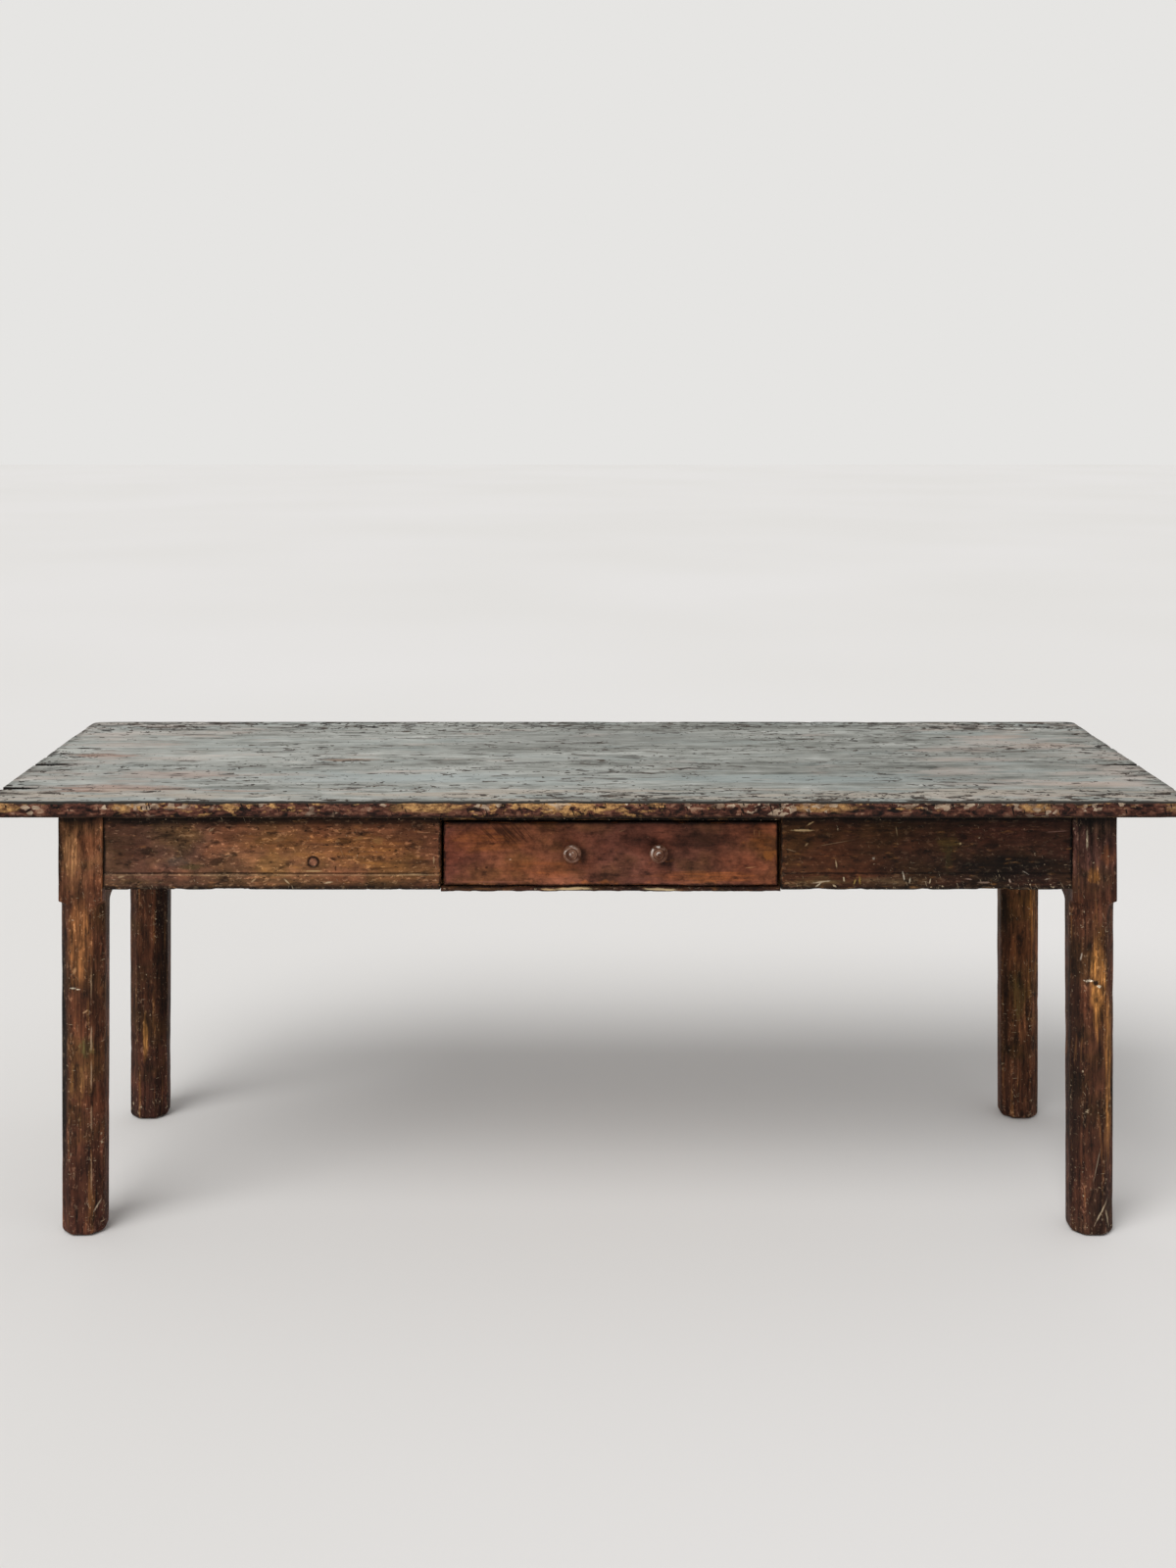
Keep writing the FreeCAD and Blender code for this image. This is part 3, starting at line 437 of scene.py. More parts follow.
@dataclass(frozen=True)
class ChalkPaintTop:
    """Grey-green chalk paint on pine boards, scrubbed and knocked for years.

    It gives the eye a dry, nearly matt skin with long scrub lines, pinkish undercoat near the ends,
    dark flakes where the paint is gone, and a brown, ochre-chipped edge all round.
    """

    name: str = "scrubbed_chalk_paint_on_pine"
    patches: tuple[ColourPatch, ...] = (
        ColourPatch((-450, -20, 775), (75, 16, 40), "7a5f4b", 0.75, 0.8),
        ColourPatch((-925, 22, 775), (85, 24, 40), "866757", 0.85, 0.8),
        ColourPatch((-760, -150, 775), (150, 40, 40), "a59187", 0.6, 0.9),
        ColourPatch((-840, -262, 775), (170, 36, 40), "ae9082", 0.75, 0.9),
        ColourPatch((-560, -150, 775), (110, 22, 40), "a3948a", 0.55, 0.9),
        ColourPatch((900, 120, 775), (110, 30, 40), "a08d80", 0.6, 0.9),
        ColourPatch((880, -230, 775), (120, 26, 40), "a08e80", 0.6, 0.9),
        ColourPatch((60, 200, 775), (420, 90, 60), "7b7c77", 0.5, 0.8),
        ColourPatch((-330, -175, 775), (330, 60, 60), "a3aaa8", 0.6, 0.8),
        ColourPatch((350, -185, 775), (420, 55, 60), "98a19f", 0.6, 0.8),
        ColourPatch((-860, -348, 775), (190, 24, 40), "8b9391", 0.7, 0.8),
        ColourPatch((880, -345, 775), (180, 22, 40), "8d9591", 0.6, 0.8),
        ColourPatch((-890, -282, 775), (70, 9, 40), "86604d", 0.75, 1.0),
        ColourPatch((-760, -270, 775), (60, 7, 40), "8a6653", 0.7, 1.0),
        ColourPatch((-610, -278, 775), (80, 8, 40), "97796a", 0.6, 1.0),
        ColourPatch((850, 210, 775), (60, 26, 40), "a28f82", 0.5, 0.9),
    )
    # size of one flake of the paint on the edge, in millimetres
    flake: Triple = (11.0, 11.0, 7.0)
    # where the front edge is worn to bare wood: middle and reach along X in millimetres
    worn_edge: tuple[Pair, ...] = (
        (-1000, 42), (-790, 26), (-275, 75), (402, 75), (760, 34), (1008, 28)
    )

    def mix(self) -> Material:
        """Mix the paint.

        Returns:
            The finished material.
        """
        coat = Coat(self.name)
        rim = coat.mark("rim")
        chip = coat.mark("chip")
        split = coat.mark("split")
        colour, height = self._field(coat)
        colour = self._losses(coat, colour, rim)
        colour = self._edge(coat, colour, rim, chip, split)
        dry = coat.streaks((120, 30, 30), 31.0)
        roughness = coat.add(Kind.RANGE, {0: dry, 1: 0.3, 2: 0.7, 3: 0.72, 4: 0.92})
        return coat.close(colour, roughness, height, 0.9, specular=0.16)

    def _field(self, coat: Coat) -> tuple[Socket, Socket]:
        """Lay the grey paint with its scrub lines and broad changes of tone.

        Args:
            coat: The finish being mixed.

        Returns:
            The colour and the relief of the scrub lines.
        """
        lines = coat.streaks((150, 24, 24), 1.0, detail=7.0, rough=0.68)
        fine = coat.streaks((70, 7, 9), 2.0, detail=4.0, rough=0.65)
        broad = coat.streaks((620, 90, 80), 3.0, detail=4.0, rough=0.6)
        mottle = coat.streaks((46, 30, 30), 4.0, detail=6.0, rough=0.7)
        tone = coat.add(Kind.MULTIPLY_ADD, {0: lines, 1: 0.42, 2: 0.0})
        tone = coat.add(Kind.MULTIPLY_ADD, {0: fine, 1: 0.2, 2: tone})
        tone = coat.add(Kind.MULTIPLY_ADD, {0: broad, 1: 0.3, 2: tone})
        tone = coat.add(Kind.MULTIPLY_ADD, {0: mottle, 1: 0.24, 2: tone})
        lighter = coat.add(Kind.RANGE, {0: coat.x, 1: -0.9, 2: 0.5, 3: 0.05, 4: -0.02})
        tone = coat.add(Kind.ADD, {0: tone, 1: lighter})
        greys = ((0.42, "4c4d48"), (0.74, "c2c2bb"), (0.51, "757670"))
        greys += ((0.585, "8f908a"), (0.65, "a6a7a1"))
        colour = coat.add(Kind.RAMP, {0: tone}, stops=greys)
        cool = coat.streaks((330, 60, 60), 6.0, detail=4.0)
        cool = coat.add(Kind.STEP, {0: cool, 1: 0.5, 2: 0.66})
        colour = coat.cover(colour, cool, srgb("979f9c"), 0.4)
        for number, stain in enumerate(self.patches):
            mask = coat.patch(stain.centre, stain.size, 11.0 + number, stain.ragged)
            colour = coat.cover(colour, mask, srgb(stain.colour), stain.strength)
        aside = coat.add(Kind.ABSOLUTE, {0: coat.x})
        aside = coat.add(Kind.STEP, {0: aside, 1: 0.5, 2: 0.82, 4: 0.13})
        under = coat.flecks((170, 50, 60), 0.58, 9.0, aside, soft=0.2)
        colour = coat.cover(colour, under, srgb("b7a79d"), 0.5)
        front = coat.add(Kind.STEP, {0: coat.y, 1: -0.25, 2: -0.275})
        warm = coat.streaks((220, 30, 30), 8.0, detail=4.0)
        warm = coat.add(Kind.STEP, {0: warm, 1: 0.42, 2: 0.62})
        warm = coat.add(Kind.MULTIPLY, {0: warm, 1: front})
        colour = coat.cover(colour, warm, srgb("ada193"), 0.7)
        return colour, coat.add(Kind.ADD, {0: lines, 1: fine})

    def _losses(self, coat: Coat, colour: Socket, rim: Socket) -> Socket:
        """Flake the paint off in dark spots and drag marks.

        Args:
            coat: The finish being mixed.
            colour: The paint so far.
            rim: Distance over the arris, below zero on the upper face.

        Returns:
            The colour with its losses.
        """
        ends = coat.add(Kind.STEP, {0: rim, 1: -0.16, 2: -0.02})
        strip = coat.add(Kind.STEP, {0: coat.y, 1: -0.262, 2: -0.285})
        back = coat.add(Kind.STEP, {0: coat.y, 1: 0.22, 2: 0.34})
        more = coat.add(Kind.MULTIPLY_ADD, {0: ends, 1: 0.04, 2: 0.0})
        more = coat.add(Kind.MULTIPLY_ADD, {0: strip, 1: 0.01, 2: more})
        more = coat.add(Kind.MULTIPLY_ADD, {0: back, 1: 0.042, 2: more})
        crowd = coat.streaks((260, 110, 100), 21.0, detail=2.0)
        more = coat.add(Kind.MULTIPLY_ADD, {0: crowd, 1: 0.27, 2: more})
        dashes = coat.flecks((70, 17, 17), 0.745, 24.0, more, soft=0.06)
        flakes = coat.flecks((36, 16, 16), 0.775, 22.0, more, soft=0.03)
        dots = coat.flecks((12, 13, 13), 0.8, 23.0, more, soft=0.02)
        raw = coat.streaks((30, 30, 30), 25.0)
        raw = coat.add(Kind.RAMP, {0: raw}, stops=((0.35, "1b1816"), (0.72, "4a3d33")))
        for mask, strength in ((dashes, 0.6), (flakes, 0.95), (dots, 0.95)):
            colour = coat.cover(colour, mask, raw, strength)
        return colour

    def _edge(self, coat: Coat, colour: Socket, rim: Socket, chip: Socket, split: Socket) -> Socket:
        """Paint the outer edge brown with ochre breaks, and leave the underside bare.

        Args:
            coat: The finish being mixed.
            colour: The paint of the upper face.
            rim: Distance over the arris, above zero down the edge.
            chip: How far the arris is broken.
            split: How deep a split is.

        Returns:
            The colour of all faces.
        """
        wander = {"Vector": coat.place, "Scale": 1 / (12 * MM), "Detail": 3.0}
        wander = coat.add("ShaderNodeTexNoise", wander, out="Color")
        flake = coat.add(
            "ShaderNodeVectorMath", {0: coat.place, 1: tuple(1 / (size * MM) for size in self.flake)},
            operation="MULTIPLY",
        )
        flake = coat.add(
            "ShaderNodeVectorMath", {0: wander, 1: (1.3, 1.3, 1.3), 2: flake}, operation="MULTIPLY_ADD"
        )
        flake = coat.add("ShaderNodeTexVoronoi", {"Vector": flake, "Scale": 1.0}, out="Color")
        dull, light, _ = coat.add("ShaderNodeSeparateColor", {0: flake}).node.outputs
        brown = coat.streaks((26, 26, 9), 41.0, detail=6.0, rough=0.7)
        brown = coat.add(Kind.MULTIPLY_ADD, {0: dull, 1: 0.16, 2: brown})
        browns = ((0.42, "0d0706"), (0.79, "9c7c66"), (0.52, "331d17"), (0.61, "573328"), (0.7, "744e3d"))
        nose = coat.add(Kind.RAMP, {0: brown}, stops=browns)
        high = coat.add(Kind.RANGE, {0: rim, 1: 0.002, 2: 0.024, 3: 0.05, 4: -0.08})
        crowd = coat.streaks((210, 210, 60), 42.0, detail=3.0)
        crowd = coat.add(Kind.MULTIPLY_ADD, {0: crowd, 1: 0.6, 2: high})
        ochre = coat.flecks((26, 26, 11), 0.855, 43.0, crowd, soft=0.08)
        bare = coat.streaks((9, 9, 5), 44.0, detail=5.0, rough=0.7)
        bare = coat.add(Kind.RAMP, {0: bare}, stops=((0.36, "5a3b26"), (0.68, "d0a066")))
        nose = coat.add(Kind.MIX, {0: ochre, 6: nose, 7: bare})
        for number, (middle, half) in enumerate(self.worn_edge):
            gone = coat.patch((middle, -370, 766), (half, 14, 11), 61.0 + number)
            nose = coat.add(Kind.MIX, {0: gone, 6: nose, 7: bare})
        loose = coat.streaks((120, 120, 60), 49.0, detail=2.0)
        loose = coat.add(Kind.MULTIPLY_ADD, {0: loose, 1: 0.9, 2: high})
        loose = coat.add(Kind.MULTIPLY_ADD, {0: light, 1: 0.3, 2: loose})
        pale = coat.add(Kind.STEP, {0: loose, 1: 0.72, 2: 0.78, 4: 0.8})
        cream = coat.add(Kind.RAMP, {0: brown}, stops=((0.45, "7f6350"), (0.7, "c9b59c")))
        nose = coat.add(Kind.MIX, {0: pale, 6: nose, 7: cream})
        cracks = coat.flecks((5, 5, 22), 0.62, 46.0, soft=0.05, turn=(0.0, 0.25, 0.0))
        nose = coat.add(Kind.MIX, {0: cracks, 6: nose, 7: srgb("130c08")})
        # the right half of the edge is a little darker
        darker = coat.add(Kind.STEP, {0: coat.x, 1: 0.0, 2: 0.6, 3: 1.0, 4: 0.81})
        nose = coat.add(Kind.TINT, {0: 1.0, 6: nose, 7: darker})
        # painted shade: the lowest part of the edge, where it turns under the top, is laid near black
        underside_shade = coat.add(Kind.STEP, {0: rim, 1: 0.018, 2: 0.026, 4: 0.8})
        nose = coat.add(Kind.MIX, {0: underside_shade, 6: nose, 7: srgb("130c08")})
        ragged = coat.streaks((30, 30, 8), 47.0, detail=3.0)
        over = coat.add(Kind.MULTIPLY_ADD, {0: ragged, 1: 0.012, 2: -0.006})
        over = coat.add(Kind.ADD, {0: rim, 1: over})
        dark = coat.add(Kind.STEP, {0: over, 1: -0.017, 2: -0.009})
        front = coat.add(Kind.STEP, {0: coat.y, 1: -0.34, 2: -0.36, 3: 0.3, 4: 1.0})
        colour = coat.cover(colour, dark, srgb("2b2722"), front)
        down = coat.add(Kind.STEP, {0: over, 1: 0.0, 2: 0.003})
        colour = coat.add(Kind.MIX, {0: down, 6: colour, 7: nose})
        broken = coat.add(Kind.STEP, {0: chip, 1: 0.5, 2: 0.9})
        broken = coat.add(Kind.MULTIPLY, {0: broken, 1: down})
        colour = coat.cover(colour, broken, bare, 0.5)
        gap = coat.add(Kind.STEP, {0: split, 1: 0.15, 2: 0.6})
        colour = coat.add(Kind.MIX, {0: gap, 6: colour, 7: srgb("15120f")})
        under = coat.add(Kind.STEP, {0: rim, 1: 0.025, 2: 0.03})
        grain = coat.streaks((300, 7, 10), 48.0, detail=4.0)
        pine = coat.add(Kind.RAMP, {0: grain}, stops=((0.35, "4b3626"), (0.65, "7d5f42")))
        return coat.add(Kind.MIX, {0: under, 6: colour, 7: pine})


@dataclass(frozen=True)
class ScumbledPaint:
    """Old brown scumble and varnish brushed over pine.

    It gives the eye a satin, blotchy brown with dragged grain lines, ochre wood where hands and knees
    wore it through, black grime in flecks and along the arrises, painted shade in the grooves, and pale
    scratches.
    """

    name: str
    grain: Axis
    tones: tuple[tuple[float, str], ...]
    tone_axis: Axis = Axis.X
    reach: Pair = (-0.92, 0.92)
    wear: str = "8c6238"
    wear_level: float = 0.6
    wear_size: Pair = (38.0, 18.0)
    mottle: Pair = (28.0, 22.0)
    grime_and_shade: str = "120b07"
    grime_level: float = 0.56
    outline: float = 0.8
    depth: float = 0.55
    contrast: float = 1.0
    pale: str = "b5a083"
    pale_level: float = 0.66
    scuff_level: float = 0.2
    scuff_right: float = 0.8
    rough_below: float = -100.0
    patches: tuple[ColourPatch, ...] = ()
    strokes: tuple[ColourPatch, ...] = ()
    marks: tuple[ColourPatch, ...] = ()
    seed: float = 1.0
    gloss: Pair = (0.38, 0.6)

    def mix(self) -> Material:
        """Mix the paint.

        Returns:
            The finished material.
        """
        coat = Coat(self.name)
        edge = coat.mark("edge")
        chip = coat.mark("chip")
        lines = coat.streaks(self.grain.drawn(120, 6.0), self.seed + 1, detail=6.0, rough=0.7)
        blot = coat.streaks(self.grain.drawn(75, 45), self.seed + 2, detail=6.0, rough=0.66)
        mottle = coat.streaks(self.grain.drawn(*self.mottle), self.seed + 3, detail=6.0, rough=0.72)
        colour = self._ground(coat, blot)
        fibre = coat.add(Kind.STEP, {0: lines, 1: 0.4, 2: 0.6})
        colour = self._lay(coat, colour, self.patches, fibre, self.seed + 50)
        for tone, much in ((lines, 0.65 * self.depth), (mottle, self.contrast)):
            low, high = 1.0 - 0.7 * much, 1.0 + 0.9 * much
            shade = coat.add(Kind.RANGE, {0: tone, 1: 0.34, 2: 0.66, 3: low, 4: high})
            colour = coat.add(Kind.TINT, {0: 1.0, 6: colour, 7: shade})
        for stroke in self.strokes:
            mask = coat.patch(stroke.centre, stroke.size, self.seed + 80, stroke.ragged)
            hairs = coat.streaks((60, 60, 5), self.seed + 81, detail=2.0, turn=(0.0, -0.8, 0.0))
            hairs = coat.add(Kind.STEP, {0: hairs, 1: 0.48, 2: 0.56, 4: stroke.strength})
            colour = coat.cover(colour, mask, srgb(stroke.colour), hairs)
        colour = self._worn(coat, colour, edge, chip)
        colour = self._lay(coat, colour, self.marks, fibre, self.seed + 110)
        # a film of dust lifts the darkest places
        colour = coat.add("ShaderNodeVectorMath", {0: colour, 1: (0.004, 0.005, 0.0055)}, operation="ADD")
        satin, dull = self.gloss
        matt = coat.add(Kind.RANGE, {0: mottle, 1: 0.3, 2: 0.7, 3: dull, 4: satin})
        height = coat.add(Kind.ADD, {0: lines, 1: mottle})
        return coat.close(colour, matt, height, 0.8, specular=0.03)

    def _ground(self, coat: Coat, blot: Socket) -> Socket:
        """Lay the brown ground, whose tone changes along the piece.

        Args:
            coat: The finish being mixed.
            blot: The blotches.

        Returns:
            The colour of the ground.
        """
        along = (coat.x, coat.y, coat.z)[self.tone_axis.value]
        share = coat.add(Kind.RANGE, {0: along, 1: self.reach[0], 2: self.reach[1]})
        drift = coat.add(Kind.MULTIPLY_ADD, {0: blot, 1: 0.22, 2: -0.11})
        share = coat.add(Kind.ADD, {0: share, 1: drift})
        colour = coat.add(Kind.RAMP, {0: share}, stops=self.tones)
        tone = coat.add(Kind.RANGE, {0: blot, 1: 0.3, 2: 0.7, 3: 0.66, 4: 1.45})
        colour = coat.add(Kind.TINT, {0: 1.0, 6: colour, 7: tone})
        tint = coat.streaks((110, 110, 70), self.seed + 4, detail=4.0)
        tint = coat.add(
            Kind.RAMP, {0: tint}, stops=((0.38, "e6ecd6"), (0.62, "fce9e6"), (0.5, "faf3f6"))
        )
        return coat.add(Kind.TINT, {0: 1.0, 6: colour, 7: tint})

    def _lay(
        self, coat: Coat, colour: Socket, places: tuple[ColourPatch, ...], fibre: Socket, seed: float
    ) -> Socket:
        """Lay stains, painted shade, painted highlights or scratches over the paint, each at its own
        place.

        Args:
            coat: The finish being mixed.
            colour: The paint so far.
            places: The stains, painted shade and highlights, or scratches.
            fibre: The grain lines, along which a stain tears.
            seed: Moves the unevenness of their rims.

        Returns:
            The colour with them on it.
        """
        for number, place in enumerate(places):
            mask = coat.patch(place.centre, place.size, seed + number, place.ragged, place.slope)
            least = (1 - place.grainy) * place.strength
            torn = coat.add(Kind.RANGE, {0: fibre, 3: least, 4: place.strength})
            colour = coat.cover(colour, mask, srgb(place.colour), torn)
        return colour

    def _worn(self, coat: Coat, colour: Socket, edge: Socket, chip: Socket) -> Socket:
        """Wear the paint: ochre on arrises, grime in flecks and on arrises, painted shade in grooves,
        pale scratches and specks.

        Args:
            coat: The finish being mixed.
            colour: The paint so far.
            edge: Distance to the nearest arris.
            chip: How far the arris is broken.

        Returns:
            The worn colour.
        """
        near = coat.add(Kind.RANGE, {0: edge, 1: 0.0, 2: 0.012, 3: 0.07, 4: 0.0})
        size = self.grain.drawn(*self.wear_size)
        rubbed = coat.flecks(size, self.wear_level, self.seed + 5, near, soft=0.14)
        rubbed = coat.add(Kind.MULTIPLY, {0: rubbed, 1: 0.8})
        thin = coat.add("ShaderNodeVectorMath", {0: colour, 1: (2.2, 2.1, 1.7)}, operation="MULTIPLY")
        thin = coat.add(Kind.MIX, {0: 0.45, 6: thin, 7: srgb(self.wear)})
        colour = coat.add(Kind.MIX, {0: rubbed, 6: colour, 7: thin})
        dirty = coat.flecks(self.grain.drawn(34, 14), self.grime_level, self.seed + 6, soft=0.12)
        colour = coat.cover(colour, dirty, srgb(self.grime_and_shade), 0.62)
        outline = coat.streaks((14, 14, 14), self.seed + 7, detail=3.0)
        outline = coat.add(Kind.MULTIPLY_ADD, {0: outline, 1: 0.012, 2: -0.002})
        outline = coat.add(Kind.DIVIDE, {0: edge, 1: outline})
        outline = coat.add(Kind.STEP, {0: outline, 1: 1.2, 2: 0.4, 4: self.outline})
        colour = coat.add(Kind.MIX, {0: outline, 6: colour, 7: srgb(self.grime_and_shade)})
        broken = coat.add(Kind.STEP, {0: chip, 1: 0.45, 2: 0.85, 4: 0.6})
        colour = coat.add(Kind.MIX, {0: broken, 6: colour, 7: thin})
        # painted shade in the grooves: the bead line, the plug's socket and the plug's rim, laid in the
        # dark grime colour
        colour = coat.cover(colour, coat.mark("groove"), srgb(self.grime_and_shade), 0.85)
        fade = [(self.rough_below + reach) * MM for reach in (6, -6)]
        low = coat.add(Kind.STEP, {0: coat.z, 1: fade[0], 2: fade[1], 4: 0.012})
        near = coat.add(Kind.MULTIPLY_ADD, {0: near, 1: 0.6, 2: low})
        crowd = coat.streaks((120, 120, 80), self.seed + 8, detail=2.0)
        crowd = coat.add(Kind.MULTIPLY_ADD, {0: crowd, 1: 0.15, 2: near})
        level = self.pale_level - 0.13
        scuffed = level + self.scuff_level
        pits = coat.flecks(self.grain.drawn(10, 5), scuffed + 0.04, self.seed + 12, crowd, soft=0.04)
        colour = coat.cover(colour, pits, srgb(self.grime_and_shade), 0.75)
        scuffs = coat.flecks(self.grain.drawn(11, 5), scuffed, self.seed + 13, crowd, soft=0.04)
        # scuffs show less where the varnish is thick and dark, at the right end
        plain = coat.add(Kind.STEP, {0: coat.x, 1: 0.1, 2: 0.5, 3: 0.8, 4: self.scuff_right})
        scuffs = coat.add(Kind.MULTIPLY, {0: scuffs, 1: plain})
        tan = coat.add("ShaderNodeVectorMath", {0: colour, 1: (2.3, 2.4, 2.4)}, operation="MULTIPLY")
        tan = coat.add(Kind.MIX, {0: 0.12, 6: tan, 7: srgb(self.pale)})
        colour = coat.add(Kind.MIX, {0: scuffs, 6: colour, 7: tan})
        specks = coat.flecks((9, 9, 6), level + 0.27, self.seed + 9, crowd, soft=0.05)
        ticks = coat.flecks((20, 20, 2.2), level + 0.275, self.seed + 10, crowd, 0.05, (0.0, 0.12, 0.0))
        nicks = coat.flecks((2.2, 2.2, 22), level + 0.265, self.seed + 11, crowd, 0.05, (0.0, 0.35, 0.0))
        for mask, strength in ((specks, 0.8), (ticks, 0.6), (nicks, 0.6)):
            colour = coat.cover(colour, mask, srgb(self.pale), strength)
        return colour


@dataclass(frozen=True)
class BarePine:
    """Unfinished pine, browned by age.

    It gives the eye a dry mid-brown board with darker late-wood lines and no gloss.
    """

    name: str
    grain: Axis
    light: str = "9c7850"
    dark: str = "5f4329"
    seed: float = 70.0

    def mix(self) -> Material:
        """Mix the wood.

        Returns:
            The finished material.
        """
        coat = Coat(self.name)
        lines = coat.streaks(self.grain.drawn(320, 9), self.seed, detail=5.0, rough=0.6)
        cloud = coat.streaks((120, 120, 120), self.seed + 1, detail=3.0)
        tone = coat.add(Kind.MULTIPLY_ADD, {0: cloud, 1: 0.45, 2: 0.0})
        tone = coat.add(Kind.MULTIPLY_ADD, {0: lines, 1: 0.6, 2: tone})
        colour = coat.add(Kind.RAMP, {0: tone}, stops=((0.38, self.dark), (0.66, self.light)))
        dry = coat.add(Kind.RANGE, {0: lines, 1: 0.3, 2: 0.7, 3: 0.7, 4: 0.88})
        return coat.close(colour, dry, lines, 0.4, specular=0.25)


@dataclass(frozen=True)
class TurnedVarnish:
    """Brown varnish on a turned hardwood knob.

    It gives the eye a smooth satin brown with turning rings, worn paler on the face with a painted
    highlight to the upper left, and painted shade in the grooves.
    """

    name: str = "satin_varnish_on_turned_knob"
    light: str = "98705b"
    dark: str = "543122"
    # pale of varnish rubbed through on the proud rings, also laid as a painted highlight on the upper
    # left
    rubbed: str = "f0e4da"

    def mix(self) -> Material:
        """Mix the varnish.

        Returns:
            The finished material.
        """
        coat = Coat(self.name)
        cloud = coat.streaks((14, 9, 14), 81.0, detail=4.0)
        rings = coat.streaks((60, 1.6, 60), 82.0, detail=2.0)
        tone = coat.add(Kind.MULTIPLY_ADD, {0: rings, 1: 0.3, 2: 0.0})
        tone = coat.add(Kind.MULTIPLY_ADD, {0: cloud, 1: 0.7, 2: tone})
        colour = coat.add(Kind.RAMP, {0: tone}, stops=((0.4, self.dark), (0.62, self.light)))
        patchy = coat.flecks((9, 9, 7), 0.44, 83.0, soft=0.16)
        bare = coat.add(Kind.MULTIPLY, {0: patchy, 1: coat.mark("proud")})
        # painted highlight: the pale shows fully only where the surface faces up and to the front left,
        # towards the light
        way = coat.add("ShaderNodeNewGeometry", out="Normal")
        upper = coat.add(
            "ShaderNodeVectorMath", {0: way, 1: (-0.45, -0.5, 0.74)}, out="Value", operation="DOT_PRODUCT"
        )
        upper = coat.add(Kind.STEP, {0: upper, 1: 0.45, 2: 0.95, 3: 0.05, 4: 1.0})
        colour = coat.cover(colour, bare, srgb(self.rubbed), upper)
        # painted shade in the knob's grooves and neck
        colour = coat.cover(colour, coat.mark("groove"), srgb("140a06"), 0.7)
        matt = coat.add(Kind.RANGE, {0: cloud, 1: 0.3, 2: 0.7, 3: 0.4, 4: 0.55})
        return coat.close(colour, matt, rings, 0.12, specular=0.07)


@dataclass(frozen=True)
class RustedIron:
    """Hand-made iron nails, rusted dark.

    It gives the eye a rough brown-black with rust-red bloom and hardly any shine.
    """

    name: str = "rusted_wrought_iron"

    def mix(self) -> Material:
        """Mix the iron.

        Returns:
            The finished material.
        """
        coat = Coat(self.name)
        bloom = coat.streaks((5, 5, 5), 91.0, detail=5.0, rough=0.7)
        colour = coat.add(Kind.RAMP, {0: bloom}, stops=((0.38, "211b18"), (0.7, "5a3524")))
        rough = coat.add(Kind.RANGE, {0: bloom, 1: 0.3, 2: 0.7, 3: 0.55, 4: 0.85})
        return coat.close(colour, rough, bloom, 0.4, specular=0.4)


@dataclass(frozen=True)
class Wear:
    """How far years of use have eaten into a piece; lengths in millimetres."""

    grain: Triple
    relief: float = 0.5
    dent: float = 90.0
    dent_depth: float = 1.0
    chip: Triple = (30.0, 30.0, 12.0)
    chip_depth: float = 2.5
    chip_reach: float = 7.0
    chip_level: float = 0.55
    seed: float = 1.0


